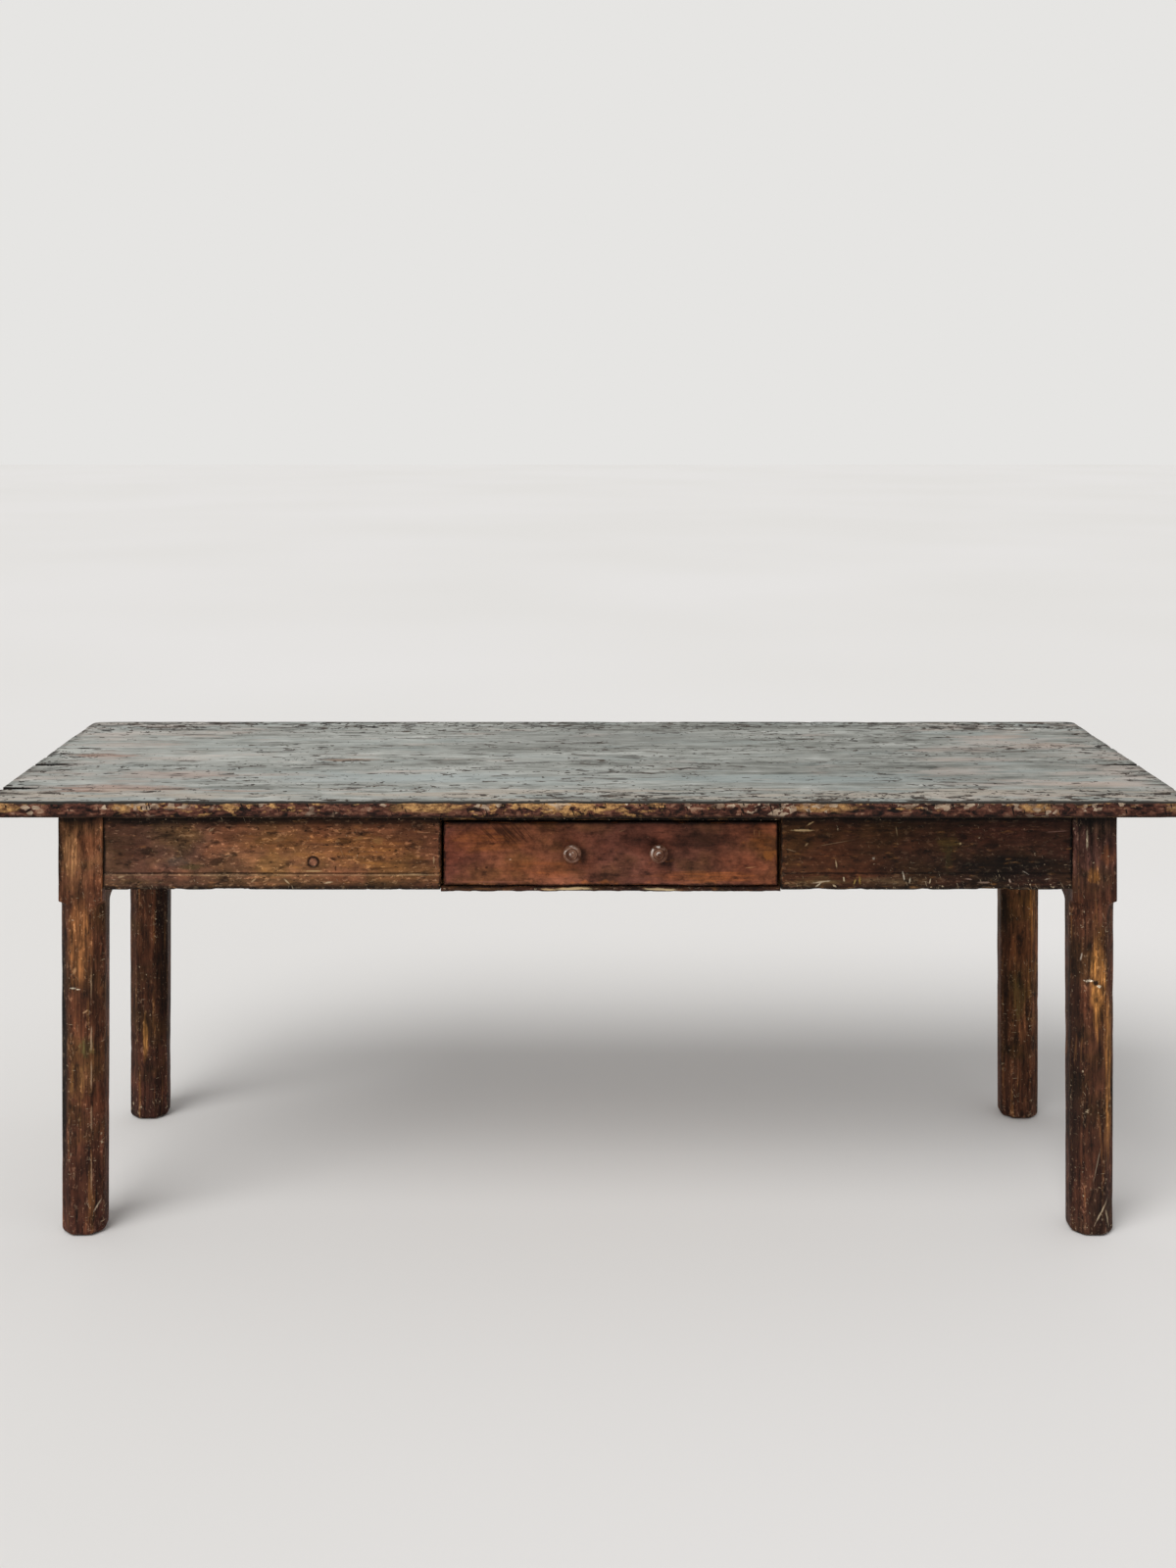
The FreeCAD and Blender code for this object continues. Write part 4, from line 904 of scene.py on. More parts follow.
class Weathering(ShapeTree):
    """Geometry Nodes tree that wears a piece: grain relief, shallow dents and broken arrises.

    Everything is taken away from the surface, never added, so a worn piece stays in its place.
    """

    def __init__(self) -> None:
        """Build the tree once, for all pieces."""
        takes = {
            "Geometry": "Geometry", "Grain pitch": "Vector", "Grain relief": "Float",
            "Dent pitch": "Float", "Dent depth": "Float", "Chip pitch": "Vector", "Chip depth": "Float",
            "Chip reach": "Float", "Chip level": "Float", "Seed": "Float", "Material": "Material",
        }
        super().__init__("weathered timber", takes)
        given = self.given
        place = self.add("GeometryNodeInputPosition")
        normal = self.add("GeometryNodeInputNormal")
        edge = self.add("GeometryNodeInputNamedAttribute", {"Name": "edge"}, data_type="FLOAT")
        worn = self.add("GeometryNodeInputNamedAttribute", {"Name": "worn"}, data_type="FLOAT")
        along = {0: place, 1: given["Grain pitch"]}
        along = self.add("ShaderNodeVectorMath", along, operation="MULTIPLY")
        relief = self.add(
            "ShaderNodeTexNoise", {"Vector": along, "W": given["Seed"], "Scale": 1.0, "Detail": 3.0},
            noise_dimensions="4D",
        )
        dent = self.add(
            "ShaderNodeTexNoise",
            {"Vector": place, "W": given["Seed"], "Scale": given["Dent pitch"], "Detail": 2.0},
            noise_dimensions="4D",
        )
        dent = self.add(Kind.STEP, {0: dent, 1: 0.48, 2: 0.78})
        near = self.add(Kind.STEP, {0: edge, 1: given["Chip reach"], 2: 0.0})
        bits = self.add("ShaderNodeVectorMath", {0: place, 1: given["Chip pitch"]}, operation="MULTIPLY")
        bits = self.add(
            "ShaderNodeTexNoise",
            {"Vector": bits, "W": given["Seed"], "Scale": 1.0, "Detail": 3.0, "Roughness": 0.6},
            noise_dimensions="4D",
        )
        full = self.add(Kind.ADD, {0: given["Chip level"], 1: 0.14})
        bits = self.add(Kind.STEP, {0: bits, 1: given["Chip level"], 2: full})
        chip = self.add(Kind.MULTIPLY, {0: near, 1: bits})
        chip = self.add(Kind.MULTIPLY, {0: chip, 1: worn})
        low = self.add(Kind.MULTIPLY, {0: relief, 1: given["Grain relief"]})
        low = self.add(Kind.MULTIPLY_ADD, {0: dent, 1: given["Dent depth"], 2: low})
        low = self.add(Kind.MULTIPLY, {0: low, 1: worn})
        low = self.add(Kind.MULTIPLY_ADD, {0: chip, 1: given["Chip depth"], 2: low})
        low = self.add(Kind.MULTIPLY, {0: low, 1: -1.0})
        move = self.add("ShaderNodeVectorMath", {0: normal, "Scale": low}, operation="SCALE")
        kept = self.keep(given["Geometry"], "chip", chip)
        shaped = self.add("GeometryNodeSetPosition", {"Geometry": kept, "Offset": move})
        self.close(self.add("GeometryNodeSetShadeSmooth", {"Geometry": shaped}))

    def wear(self, piece: bpy.types.Object, how: Wear, material: Material) -> None:
        """Wear one piece and give it its finish.

        Args:
            piece: The piece, with the measures edge and worn on its points.
            how: How far it is worn.
            material: Its finish.
        """
        run_tree(
            piece,
            self.tree,
            {
                "Grain pitch": tuple(1 / (s * MM) for s in how.grain),
                "Grain relief": how.relief * MM,
                "Dent pitch": 1 / (how.dent * MM),
                "Dent depth": how.dent_depth * MM,
                "Chip pitch": tuple(1 / (s * MM) for s in how.chip),
                "Chip depth": how.chip_depth * MM,
                "Chip reach": how.chip_reach * MM,
                "Chip level": how.chip_level,
                "Seed": how.seed,
                "Material": material,
            },
        )


@dataclass
class Board:
    """A plank as one closed skin on a graded lattice, with eased arrises; sizes in millimetres."""

    name: str
    low: Triple
    high: Triple
    step: Triple
    ease: dict[Face, float]
    hidden: tuple[Face, ...] = ()
    extra: dict[Axis, tuple[float, ...]] = field(default_factory=dict)

    def lines(self, axis: int) -> np.ndarray:
        """Places of the lattice lines along one axis.

        Args:
            axis: The axis number.

        Returns:
            Rising places in millimetres, close together in the roundings and at extra lines.
        """
        first, last = [self.ease[face] for face in Face if face.value[0] == axis]
        turn = [math.tan(math.radians(a)) for a in (45, 30, 15)]
        start = [self.low[axis] + first * (1 - t) for t in turn]
        end = [self.high[axis] - last * (1 - t) for t in turn]
        inner = (self.low[axis] + first, self.high[axis] - last)
        count = max(1, round((inner[1] - inner[0]) / self.step[axis]))
        middle = np.linspace(inner[0], inner[1], count + 1)
        slipped = np.array(sorted(self.extra.get(Axis(axis), ())))
        if slipped.size:
            apart = np.abs(middle[:, None] - slipped[None, :]).min(axis=1)
            ends = (middle == inner[0]) | (middle == inner[1])
            middle = np.concatenate([middle[(apart > 0.4 * self.step[axis]) | ends], slipped])
        return np.unique(np.round(np.concatenate([start, middle, end]), 4))

    def skin(self) -> tuple[np.ndarray, np.ndarray]:
        """Lay the closed lattice over the six faces.

        Returns:
            The points in millimetres, still on the square box, and the four-sided faces.
        """
        rows = [self.lines(axis) for axis in range(3)]
        sizes = [len(row) for row in rows]
        quads = []
        for face in Face:
            axis, upper = face.value
            one, two = (axis + 1) % 3, (axis + 2) % 3
            u, v = np.meshgrid(np.arange(sizes[one] - 1), np.arange(sizes[two] - 1), indexing="ij")
            u, v = u.ravel(), v.ravel()
            corners = []
            for du, dv in ((0, 0), (1, 0), (1, 1), (0, 1)):
                index = [None, None, None]
                index[axis] = np.full(u.shape, (sizes[axis] - 1) * upper)
                index[one] = u + du
                index[two] = v + dv
                corners.append((index[0] * sizes[1] + index[1]) * sizes[2] + index[2])
            quad = np.stack(corners, axis=1)
            quads.append(quad if upper else quad[:, ::-1])
        keys, faces = np.unique(np.concatenate(quads), return_inverse=True)
        z = keys % sizes[2]
        y = (keys // sizes[2]) % sizes[1]
        x = keys // (sizes[1] * sizes[2])
        points = np.stack([rows[0][x], rows[1][y], rows[2][z]], axis=1)
        return points, faces.reshape(-1, 4)

    def rounded(self, points: np.ndarray) -> np.ndarray:
        """Round the arrises of the square box.

        Args:
            points: Points on the box.

        Returns:
            The same points on the eased box.
        """
        first = np.array([[self.ease[f] for f in Face if f.value == (a, 0)][0] for a in range(3)])
        last = np.array([[self.ease[f] for f in Face if f.value == (a, 1)][0] for a in range(3)])
        core = np.clip(points, np.array(self.low) + first, np.array(self.high) - last)
        out = points - core
        share = out / np.where(out < 0, first, last)
        length = np.linalg.norm(share, axis=1)
        largest = np.abs(share).max(axis=1)
        return core + out * np.where(length > 0, largest / np.maximum(length, 1e-9), 1.0)[:, None]

    def edges(self, points: np.ndarray) -> np.ndarray:
        """Distance of each point to the nearest arris that wears.

        Args:
            points: Points on the box.

        Returns:
            Distances in millimetres.
        """
        far = 1000.0
        away = []
        for face in Face:
            axis, upper = face.value
            bound = self.high[axis] if upper else self.low[axis]
            away.append(np.abs(points[:, axis] - bound) + (far if face in self.hidden else 0.0))
        return np.sort(np.stack(away, axis=1), axis=1)[:, 1]

    def shape(self, points: np.ndarray, box: np.ndarray) -> tuple[np.ndarray, dict[str, np.ndarray]]:
        """Work the eased board further; a plain one stays as it is, with no further measures."""
        return points, {}

    def worn(self, box: np.ndarray) -> np.ndarray:
        """How much each point wears: fully where it can be touched, not at all on hidden faces.

        Args:
            box: Points on the square box.

        Returns:
            Shares from 0 to 1.
        """
        share = np.ones(len(box))
        for face in self.hidden:
            axis, upper = face.value
            bound = self.high[axis] if upper else self.low[axis]
            share[np.abs(box[:, axis] - bound) < TOUCH] = 0.0
        return share

    def build(self) -> bpy.types.Object:
        """Build the board.

        Returns:
            The new object, with the measures edge and worn on its points.
        """
        box, faces = self.skin()
        points, marks = self.shape(self.rounded(box), box)
        mesh = bpy.data.meshes.new(self.name)
        mesh.from_pydata((points * MM).tolist(), [], faces.tolist())
        marks = {"edge": self.edges(box) * MM, "worn": self.worn(box), **marks}
        for name, values in marks.items():
            mark = mesh.attributes.new(name, "FLOAT", "POINT")
            mark.data.foreach_set("value", values.astype(np.float32))
        mesh.update()
        return new_object(self.name, mesh)


@dataclass(frozen=True)
class Split:
    """A split that runs into a board from its end; sizes in millimetres."""

    end: int
    y: float
    length: float
    width: float
    depth: float = 18.0


@dataclass
class TopBoard(Board):
    """One board of the top: rounded outer corners, end splits, and the measures rim and split."""

    half_length: float = 1030.0
    half_width: float = 370.0
    corner: float = 20.0
    # a split along a seam draws in the board's side this far across, and closes at this depth
    seam_reach: float = 16.0
    seam_depth: Pair = (16.0, 22.0)
    # a split across the end grain breaks the arris back this far
    end_bite: float = 9.0
    splits: tuple[Split, ...] = ()

    def shape(self, points: np.ndarray, box: np.ndarray) -> tuple[np.ndarray, dict[str, np.ndarray]]:
        """Round the outer corners in plan and open the end splits.

        Args:
            points: Points on the eased board.
            box: The same points on the square box.

        Returns:
            The worked points, with rim and split.
        """
        points = points.copy()
        inner = np.array([self.half_length - self.corner, self.half_width - self.corner])
        local = (np.abs(points[:, :2]) - inner) / self.corner
        turned = (local > 0).all(axis=1)
        part = local[turned]
        part = part * (part.max(axis=1) / np.linalg.norm(part, axis=1))[:, None]
        points[turned, :2] = np.sign(points[turned, :2]) * (inner + part * self.corner)
        out = np.minimum(self.half_length - np.abs(box[:, 0]), self.half_width - np.abs(box[:, 1]))
        down = self.high[2] - box[:, 2]
        below = down > self.high[2] - self.low[2] - TOUCH
        rim = np.where(below, down + out, down - out)
        sides = np.minimum(np.abs(box[:, 1] - self.low[1]), np.abs(box[:, 1] - self.high[1])) < TOUCH
        cut = np.where(sides & (down > 0.5) & (out > 1.0), 1.0, 0.0)
        for split in self.splits:
            into = (self.half_length - split.end * box[:, 0]) / split.length
            share = np.clip(1.0 - into, 0.0, 1.0) ** 0.5
            half = 0.5 * split.width * np.maximum(share, 1e-6)
            if split.y in (self.low[1], self.high[1]):
                inward = 1.0 if split.y == self.low[1] else -1.0
                away = np.abs(box[:, 1] - split.y) / self.seam_reach
                reach = np.clip(1.0 - away, 0.0, 1.0) * (share > 0)
                open_to, shut_at = self.seam_depth
                open_share = np.clip((shut_at - down) / (shut_at - open_to), 0.0, 1.0)
                points[:, 1] += inward * half * reach * open_share
                continue
            bite = np.clip(1.0 - np.abs(box[:, 1] - split.y) / half, 0.0, 1.0) * (share > 0) * ~below
            points[:, 2] -= bite * split.depth * share * (down < 0.5 * split.depth)
            points[:, 0] -= split.end * bite * (into < 0.05) * self.end_bite
            cut = np.maximum(cut, bite)
        return points, {"rim": rim * MM, "split": cut}


@dataclass
class PlankTop:
    """The plank top of five boards, edge to edge; sizes in millimetres."""

    seams: tuple[float, ...] = (-370.0, -260.0, -63.0, 87.0, 312.0, 370.0)
    names: tuple[str, ...] = ("front", "second", "middle", "fourth", "back")
    half_length: float = 1030.0
    under: float = 748.0
    upper: float = 775.0
    rounding: float = 4.5
    seam_ease: float = 0.7
    splits: tuple[Split, ...] = (
        Split(-1, -260.0, 66.0, 24.0),
        Split(-1, -63.0, 76.0, 16.0),
        Split(-1, 66.0, 66.0, 12.0),
        Split(-1, 210.0, 52.0, 11.0),
        Split(-1, -195.0, 50.0, 9.0),
        Split(-1, -120.0, 38.0, 9.0),
        Split(1, -63.0, 84.0, 17.0),
        Split(1, -14.0, 70.0, 11.0),
        Split(1, 57.0, 76.0, 12.0),
        Split(1, 228.0, 58.0, 11.0),
        Split(1, -305.0, 60.0, 11.0),
        Split(1, -200.0, 44.0, 9.0),
    )

    def build(self, weathering: Weathering, paint: Material) -> None:
        """Build the boards, wear them and paint them.

        Args:
            weathering: The tree that wears a piece.
            paint: The paint of the top.
        """
        for number, name in enumerate(self.names):
            front, back = self.seams[number], self.seams[number + 1]
            first, last = number == 0, number == len(self.names) - 1
            mine = tuple(s for s in self.splits if front <= s.y <= back)
            rows = tuple(s.y + d * s.width for s in mine for d in (-0.5, -0.2, 0.0, 0.2, 0.5))
            rows = tuple(r for r in rows if front + 1.5 < r < back - 1.5)
            board = TopBoard(
                name=f"worn_top_board_{name}",
                low=(-self.half_length, front, self.under),
                high=(self.half_length, back, self.upper),
                step=(6.0, 5.0, 4.5),
                ease={
                    Face.LEFT: 3.5,
                    Face.RIGHT: 3.5,
                    Face.FRONT: self.rounding if first else self.seam_ease,
                    Face.BACK: self.rounding if last else self.seam_ease,
                    Face.UNDER: 3.0,
                    Face.TOP: self.rounding if first or last else 2.5,
                },
                hidden=(() if first else (Face.FRONT,)) + (() if last else (Face.BACK,)),
                extra={Axis.Y: rows},
                splits=mine,
            )
            piece = board.build()
            how = Wear(
                grain=(240.0, 9.0, 30.0), relief=0.9, dent=110.0, dent_depth=1.2,
                chip=(46.0, 46.0, 11.0), chip_depth=2.6, chip_reach=8.0, chip_level=0.55,
                seed=1.0 + 0.37 * number
            )
            weathering.wear(piece, how, paint)
            hand_over(piece, Body.TABLE, (f"top_board_{name}",))


class PostTree(ShapeTree):
    """Geometry Nodes tree for a post: a square head, then an eight-sided shaft with scooped stops."""

    def __init__(self) -> None:
        """Build the tree once, for all four legs."""
        lengths = ("Half width", "Height", "Chamfer", "Stop height", "Stop drop", "Foot round")
        takes = {name: "Float" for name in (*lengths, "Taper", "Softness")}
        takes |= {"Centre": "Vector", "Sides": "Int", "Rings": "Int", "Material": "Material"}
        super().__init__("stop chamfered post", takes)
        given = self.given
        barrel = self.add(
            "GeometryNodeMeshCylinder",
            {"Vertices": given["Sides"], "Side Segments": given["Rings"], "Radius": 1.0, "Depth": 1.0},
            fill_type="NGON",
        )
        place = self.add("GeometryNodeInputPosition")
        axes = self.add("ShaderNodeSeparateXYZ", {0: place}).node.outputs
        height = self.add(Kind.ADD, {0: axes["Z"], 1: 0.5})
        height = self.add(Kind.MULTIPLY, {0: height, 1: given["Height"]})
        x = self.add(Kind.ABSOLUTE, {0: axes["X"]})
        y = self.add(Kind.ABSOLUTE, {0: axes["Y"]})
        wide = self.add("ShaderNodeMath", {0: x, 1: y}, operation="MAXIMUM")
        both = self.add(Kind.ADD, {0: x, 1: y})
        fall = self.add(Kind.SUBTRACT, {0: given["Stop height"], 1: height})
        slim = {0: fall, 1: 0.0, 2: given["Stop height"], 3: 0.0, 4: given["Taper"]}
        slim = self.add(Kind.RANGE, slim)
        half = self.add(Kind.SUBTRACT, {0: given["Half width"], 1: slim})
        square = self.add(Kind.DIVIDE, {0: half, 1: wide})
        scoop = self.add(Kind.RANGE, {0: fall, 1: 0.0, 2: given["Stop drop"], 3: 1.0, 4: 0.0})
        scoop = self.add("ShaderNodeMath", {0: scoop, 1: 2.6}, operation="POWER")
        scoop = self.add(Kind.SUBTRACT, {0: 1.0, 1: scoop})
        bite = self.add(Kind.MULTIPLY, {0: given["Chamfer"], 1: scoop})
        span = self.add(Kind.MULTIPLY, {0: half, 1: 2.0})
        span = self.add(Kind.SUBTRACT, {0: span, 1: bite})
        cut = self.add(Kind.DIVIDE, {0: span, 1: both})
        reach = self.add(
            "ShaderNodeMath", {0: square, 1: cut, 2: given["Softness"]}, operation="SMOOTH_MIN"
        )
        apart = self.add(Kind.SUBTRACT, {0: square, 1: cut})
        apart = self.add(Kind.ABSOLUTE, {0: apart})
        apart = self.add("ShaderNodeMath", {0: apart, 1: height}, operation="MINIMUM")
        lift = self.add(Kind.RANGE, {0: height, 1: 0.0, 2: given["Foot round"], 3: 1.0, 4: 0.0})
        lift = self.add("ShaderNodeMath", {0: lift, 1: 2.0}, operation="POWER")
        lift = self.add(Kind.SUBTRACT, {0: 1.0, 1: lift})
        lift = self.add("ShaderNodeMath", {0: lift}, operation="SQRT")
        lift = self.add(Kind.SUBTRACT, {0: 1.0, 1: lift})
        lift = self.add(Kind.MULTIPLY, {0: lift, 1: given["Foot round"]})
        reach = self.add(Kind.SUBTRACT, {0: reach, 1: lift})
        across = self.add(Kind.MULTIPLY, {0: axes["X"], 1: reach})
        along = self.add(Kind.MULTIPLY, {0: axes["Y"], 1: reach})
        spot = self.add("ShaderNodeCombineXYZ", {0: across, 1: along, 2: height})
        spot = self.add("ShaderNodeVectorMath", {0: spot, 1: given["Centre"]}, operation="ADD")
        kept = self.keep(self.keep(barrel, "edge", apart), "worn", 1.0)
        self.close(self.add("GeometryNodeSetPosition", {"Geometry": kept, "Position": spot}))


@dataclass
class LegSet:
    """Four stop-chamfered legs; sizes in millimetres."""

    size: float = 78.0
    height: float = 748.0
    chamfer: float = 20.5
    stop: float = 584.0
    stop_drop: float = 13.0
    foot_round: float = 9.0
    taper: float = 1.2
    softness: float = 7.0
    centre: Pair = (883.0, 251.0)
    sides: int = 144
    rings: int = 300

    def build(self, weathering: Weathering, paints: dict[str, Material]) -> None:
        """Build the legs, wear them and paint them.

        Args:
            weathering: The tree that wears a piece.
            paints: The paint of each leg, by its place.
        """
        posts = PostTree()
        for number, (name, paint) in enumerate(paints.items()):
            side = -1 if name.endswith("left") else 1
            depth = -1 if name.startswith("front") else 1
            piece = new_object(f"worn_leg_{name}", bpy.data.meshes.new(f"worn_leg_{name}"))
            run_tree(
                piece,
                posts.tree,
                {
                    "Half width": 0.5 * self.size * MM,
                    "Height": self.height * MM,
                    "Chamfer": self.chamfer * MM,
                    "Stop height": self.stop * MM,
                    "Stop drop": self.stop_drop * MM,
                    "Foot round": self.foot_round * MM,
                    "Taper": self.taper * MM,
                    "Softness": self.softness * MM,
                    "Centre": (side * self.centre[0] * MM, depth * self.centre[1] * MM, 0.0),
                    "Sides": self.sides,
                    "Rings": self.rings,
                    "Material": paint,
                },
            )
            how = Wear(
                grain=(7.0, 7.0, 160.0), relief=0.7, dent=90.0, dent_depth=1.0,
                chip=(16.0, 16.0, 60.0), chip_depth=1.6, chip_reach=6.0, chip_level=0.58,
                seed=11.0 + 0.71 * number
            )
            weathering.wear(piece, how, paint)
            hand_over(piece, Body.TABLE, (f"leg_{name}",))


@dataclass
class ApronBoard(Board):
    """An apron board with its scratched bead line, and a socket where a plug sits."""

    bead: float | None = None
    bead_width: float = 3.4
    bead_depth: float = 1.8
    socket: Pair | None = None
    socket_radius: float = 12.4
    socket_depth: float = 2.2
    socket_rim: float = 3.0

    def shape(self, points: np.ndarray, box: np.ndarray) -> tuple[np.ndarray, dict[str, np.ndarray]]:
        """Cut the bead line and the socket into the front face.

        Args:
            points: Points on the eased board.
            box: The same points on the square box.

        Returns:
            The worked points, with groove.
        """
        points = points.copy()
        front = np.abs(box[:, 1] - self.low[1]) < TOUCH
        groove = np.zeros(len(box))
        if self.bead is not None:
            line = np.clip(1.0 - np.abs(box[:, 2] - self.bead) / (0.5 * self.bead_width), 0.0, 1.0)
            points[:, 1] += front * line * self.bead_depth
            groove = np.maximum(groove, front * line)
        if self.socket is not None:
            away = np.hypot(box[:, 0] - self.socket[0], box[:, 2] - self.socket[1])
            bowl = np.clip((self.socket_radius - away) / self.socket_rim, 0.0, 1.0)
            points[:, 1] += front * bowl * self.socket_depth
            groove = np.maximum(groove, front * bowl)
        return points, {"groove": groove}


@dataclass
class ApronFrame:
    """The apron boards and the rails over and under the drawer; sizes in millimetres."""

    under: float = 603.0
    upper: float = 748.0
    bead: float = 632.0
    plug: Pair = (-478.0, 652.0)
    # inner and outer face of the front and back boards, and of the end boards
    face: Pair = (260.0, 286.0)
    end_face: Pair = (892.0, 918.0)
    # shoulders at the legs, along X and along Y
    shoulder: Pair = (844.0, 212.0)
    opening: Pair = (-256.0, 336.0)

    def build(
        self, weathering: Weathering, front: Material, ends: Material, rear: Material, rails: Material
    ) -> None:
        """Build the boards, wear them and paint them.

        Args:
            weathering: The tree that wears a piece.
            front: The paint of the front boards.
            ends: The paint of the end boards.
            rear: The paint of the back board.
            rails: The paint of the rails at the drawer.
        """
        bead_rows = tuple(self.bead + d for d in (-1.7, -0.85, 0.0, 0.85, 1.7))
        ring = tuple(float(d) for d in np.arange(-12.0, 12.1, 1.5))
        inner, outer = self.face
        end_inner, end_outer = self.end_face
        wide, deep = self.shoulder
        start, stop = self.opening
        fine = (5.0, 6.0, 4.5)
        left = self._board("front_left", (-wide, -outer), (start, -inner), fine, (Face.TOP, Face.LEFT))
        left.bead = self.bead
        left.socket = self.plug
        left.extra = {
            Axis.X: tuple(self.plug[0] + d for d in ring),
            Axis.Z: bead_rows + tuple(self.plug[1] + d for d in ring),
        }
        right = self._board("front_right", (stop, -outer), (wide, -inner), fine, (Face.TOP, Face.RIGHT))
        right.bead = self.bead
        right.extra = {Axis.Z: bead_rows}
        both = (Face.TOP, Face.LEFT, Face.RIGHT)
        back = self._board("back", (-wide, inner), (wide, outer), (9.0, 6.0, 6.0), both)
        nests = (Face.TOP, Face.FRONT, Face.BACK)
        even = (6.0, 6.0, 6.0)
        end_left = self._board("end_left", (-end_outer, -deep), (-end_inner, deep), even, nests)
        end_right = self._board("end_right", (end_inner, -deep), (end_outer, deep), even, nests)
        rows = (
            (left, "front_apron_left", front, Axis.X),
            (right, "front_apron_right", front, Axis.X),
            (back, "back_apron", rear, Axis.X),
            (end_left, "end_apron_left", ends, Axis.Y),
            (end_right, "end_apron_right", ends, Axis.Y),
        )
        for number, (board, node, paint, grain) in enumerate(rows):
            piece = board.build()
            weathering.wear(piece, self._wear(grain, 21.0 + 0.53 * number), paint)
            hand_over(piece, Body.TABLE, (node,))
        self._rails(weathering, rails)

    def _board(
        self, name: str, low: Pair, high: Pair, step: Triple, hidden: tuple[Face, ...]
    ) -> ApronBoard:
        """Set out one apron board.

        Args:
            name: Its place in the frame.
            low: Its lowest X and Y.
            high: Its highest X and Y.
            step: Spacing of its lattice.
            hidden: Faces that other pieces cover.

        Returns:
            The board, not yet built.
        """
        ease = {face: 2.2 for face in Face}
        ease[Face.UNDER] = 3.0
        return ApronBoard(
            name=f"worn_apron_{name}",
            low=(low[0], low[1], self.under),
            high=(high[0], high[1], self.upper),
            step=step,
            ease=ease,
            hidden=hidden,
        )

    def _wear(self, grain: Axis, seed: float) -> Wear:
        """Wear of an apron board, whose lower edge is the most knocked.

        Args:
            grain: The way its grain runs.
            seed: Moves the pattern.

        Returns:
            The settings for the tree.
        """
        return Wear(
            grain=grain.drawn(200.0, 8.0), relief=0.6, dent=80.0, dent_depth=1.3,
            chip=(36.0, 36.0, 16.0), chip_depth=2.4, chip_reach=7.0, chip_level=0.5, seed=seed
        )

    def _rails(self, weathering: Weathering, paint: Material) -> None:
        """Build the two thin rails that close the drawer's opening.

        Args:
            weathering: The tree that wears a piece.
            paint: The paint of the rails.
        """
        for name, low, high in (("over", 724.0, 748.0), ("under", 600.0, 608.0)):
            ease = {face: 1.6 for face in Face}
            rail = Board(
                name=f"worn_rail_{name}_drawer",
                low=(self.opening[0], -self.face[1], low),
                high=(self.opening[1], -self.face[0], high),
                step=(5.0, 4.0, 2.0),
                ease=ease,
                hidden=(Face.LEFT, Face.RIGHT),
            )
            piece = rail.build()
            how = Wear(
                grain=(160.0, 8.0, 8.0), relief=0.5, dent=60.0, dent_depth=0.8,
                chip=(42.0, 20.0, 12.0), chip_depth=2.2 if name == "under" else 1.0, chip_reach=5.0,
                chip_level=0.44, seed=27.0 + low * 0.01
            )
            weathering.wear(piece, how, paint)
            hand_over(piece, Body.TABLE, (f"rail_{name}_drawer",))


@dataclass
class Turning:
    """A piece turned on a lathe, its axis along Y, the face towards the front; sizes in millimetres."""

    name: str
    centre: Pair
    back: float
    profile: tuple[Pair, ...]
    proud: tuple[int, ...] = ()
    groove: tuple[int, ...] = ()
    sides: int = 56

    def build(self, finish: Material) -> bpy.types.Object:
        """Spin the profile into a closed skin.

        Args:
            finish: The piece's finish.

        Returns:
            The new object.
        """
        angles = np.linspace(0.0, 2 * math.pi, self.sides, endpoint=False)
        points = [(self.centre[0], self.back - self.profile[0][1], self.centre[1])]
        for radius, out in self.profile[1:-1]:
            for angle in angles:
                x = self.centre[0] + radius * math.cos(angle)
                points.append((x, self.back - out, self.centre[1] + radius * math.sin(angle)))
        points.append((self.centre[0], self.back - self.profile[-1][1], self.centre[1]))
        rings = len(self.profile) - 2
        faces: list[tuple[int, ...]] = []
        for i in range(self.sides):
            j = (i + 1) % self.sides
            faces.append((0, 1 + i, 1 + j))
            for ring in range(rings - 1):
                a = 1 + ring * self.sides
                b = a + self.sides
                faces.append((a + i, b + i, b + j, a + j))
            last = 1 + (rings - 1) * self.sides
            faces.append((len(points) - 1, last + j, last + i))
        mesh = bpy.data.meshes.new(self.name)
        mesh.from_pydata((np.array(points) * MM).tolist(), [], faces)
        mesh.polygons.foreach_set("use_smooth", [True] * len(mesh.polygons))
        mesh.materials.append(finish)
        for name, chosen in (("proud", self.proud), ("groove", self.groove)):
            share = np.repeat([1.0 if row in chosen else 0.0 for row in range(1, rings + 1)], self.sides)
            ends = [1.0 if row in chosen else 0.0 for row in (0, rings + 1)]
            values = np.concatenate([ends[:1], share, ends[1:]]).astype(np.float32)
            mesh.attributes.new(name, "FLOAT", "POINT").data.foreach_set("value", values)
        mesh.update()
        return new_object(self.name, mesh)


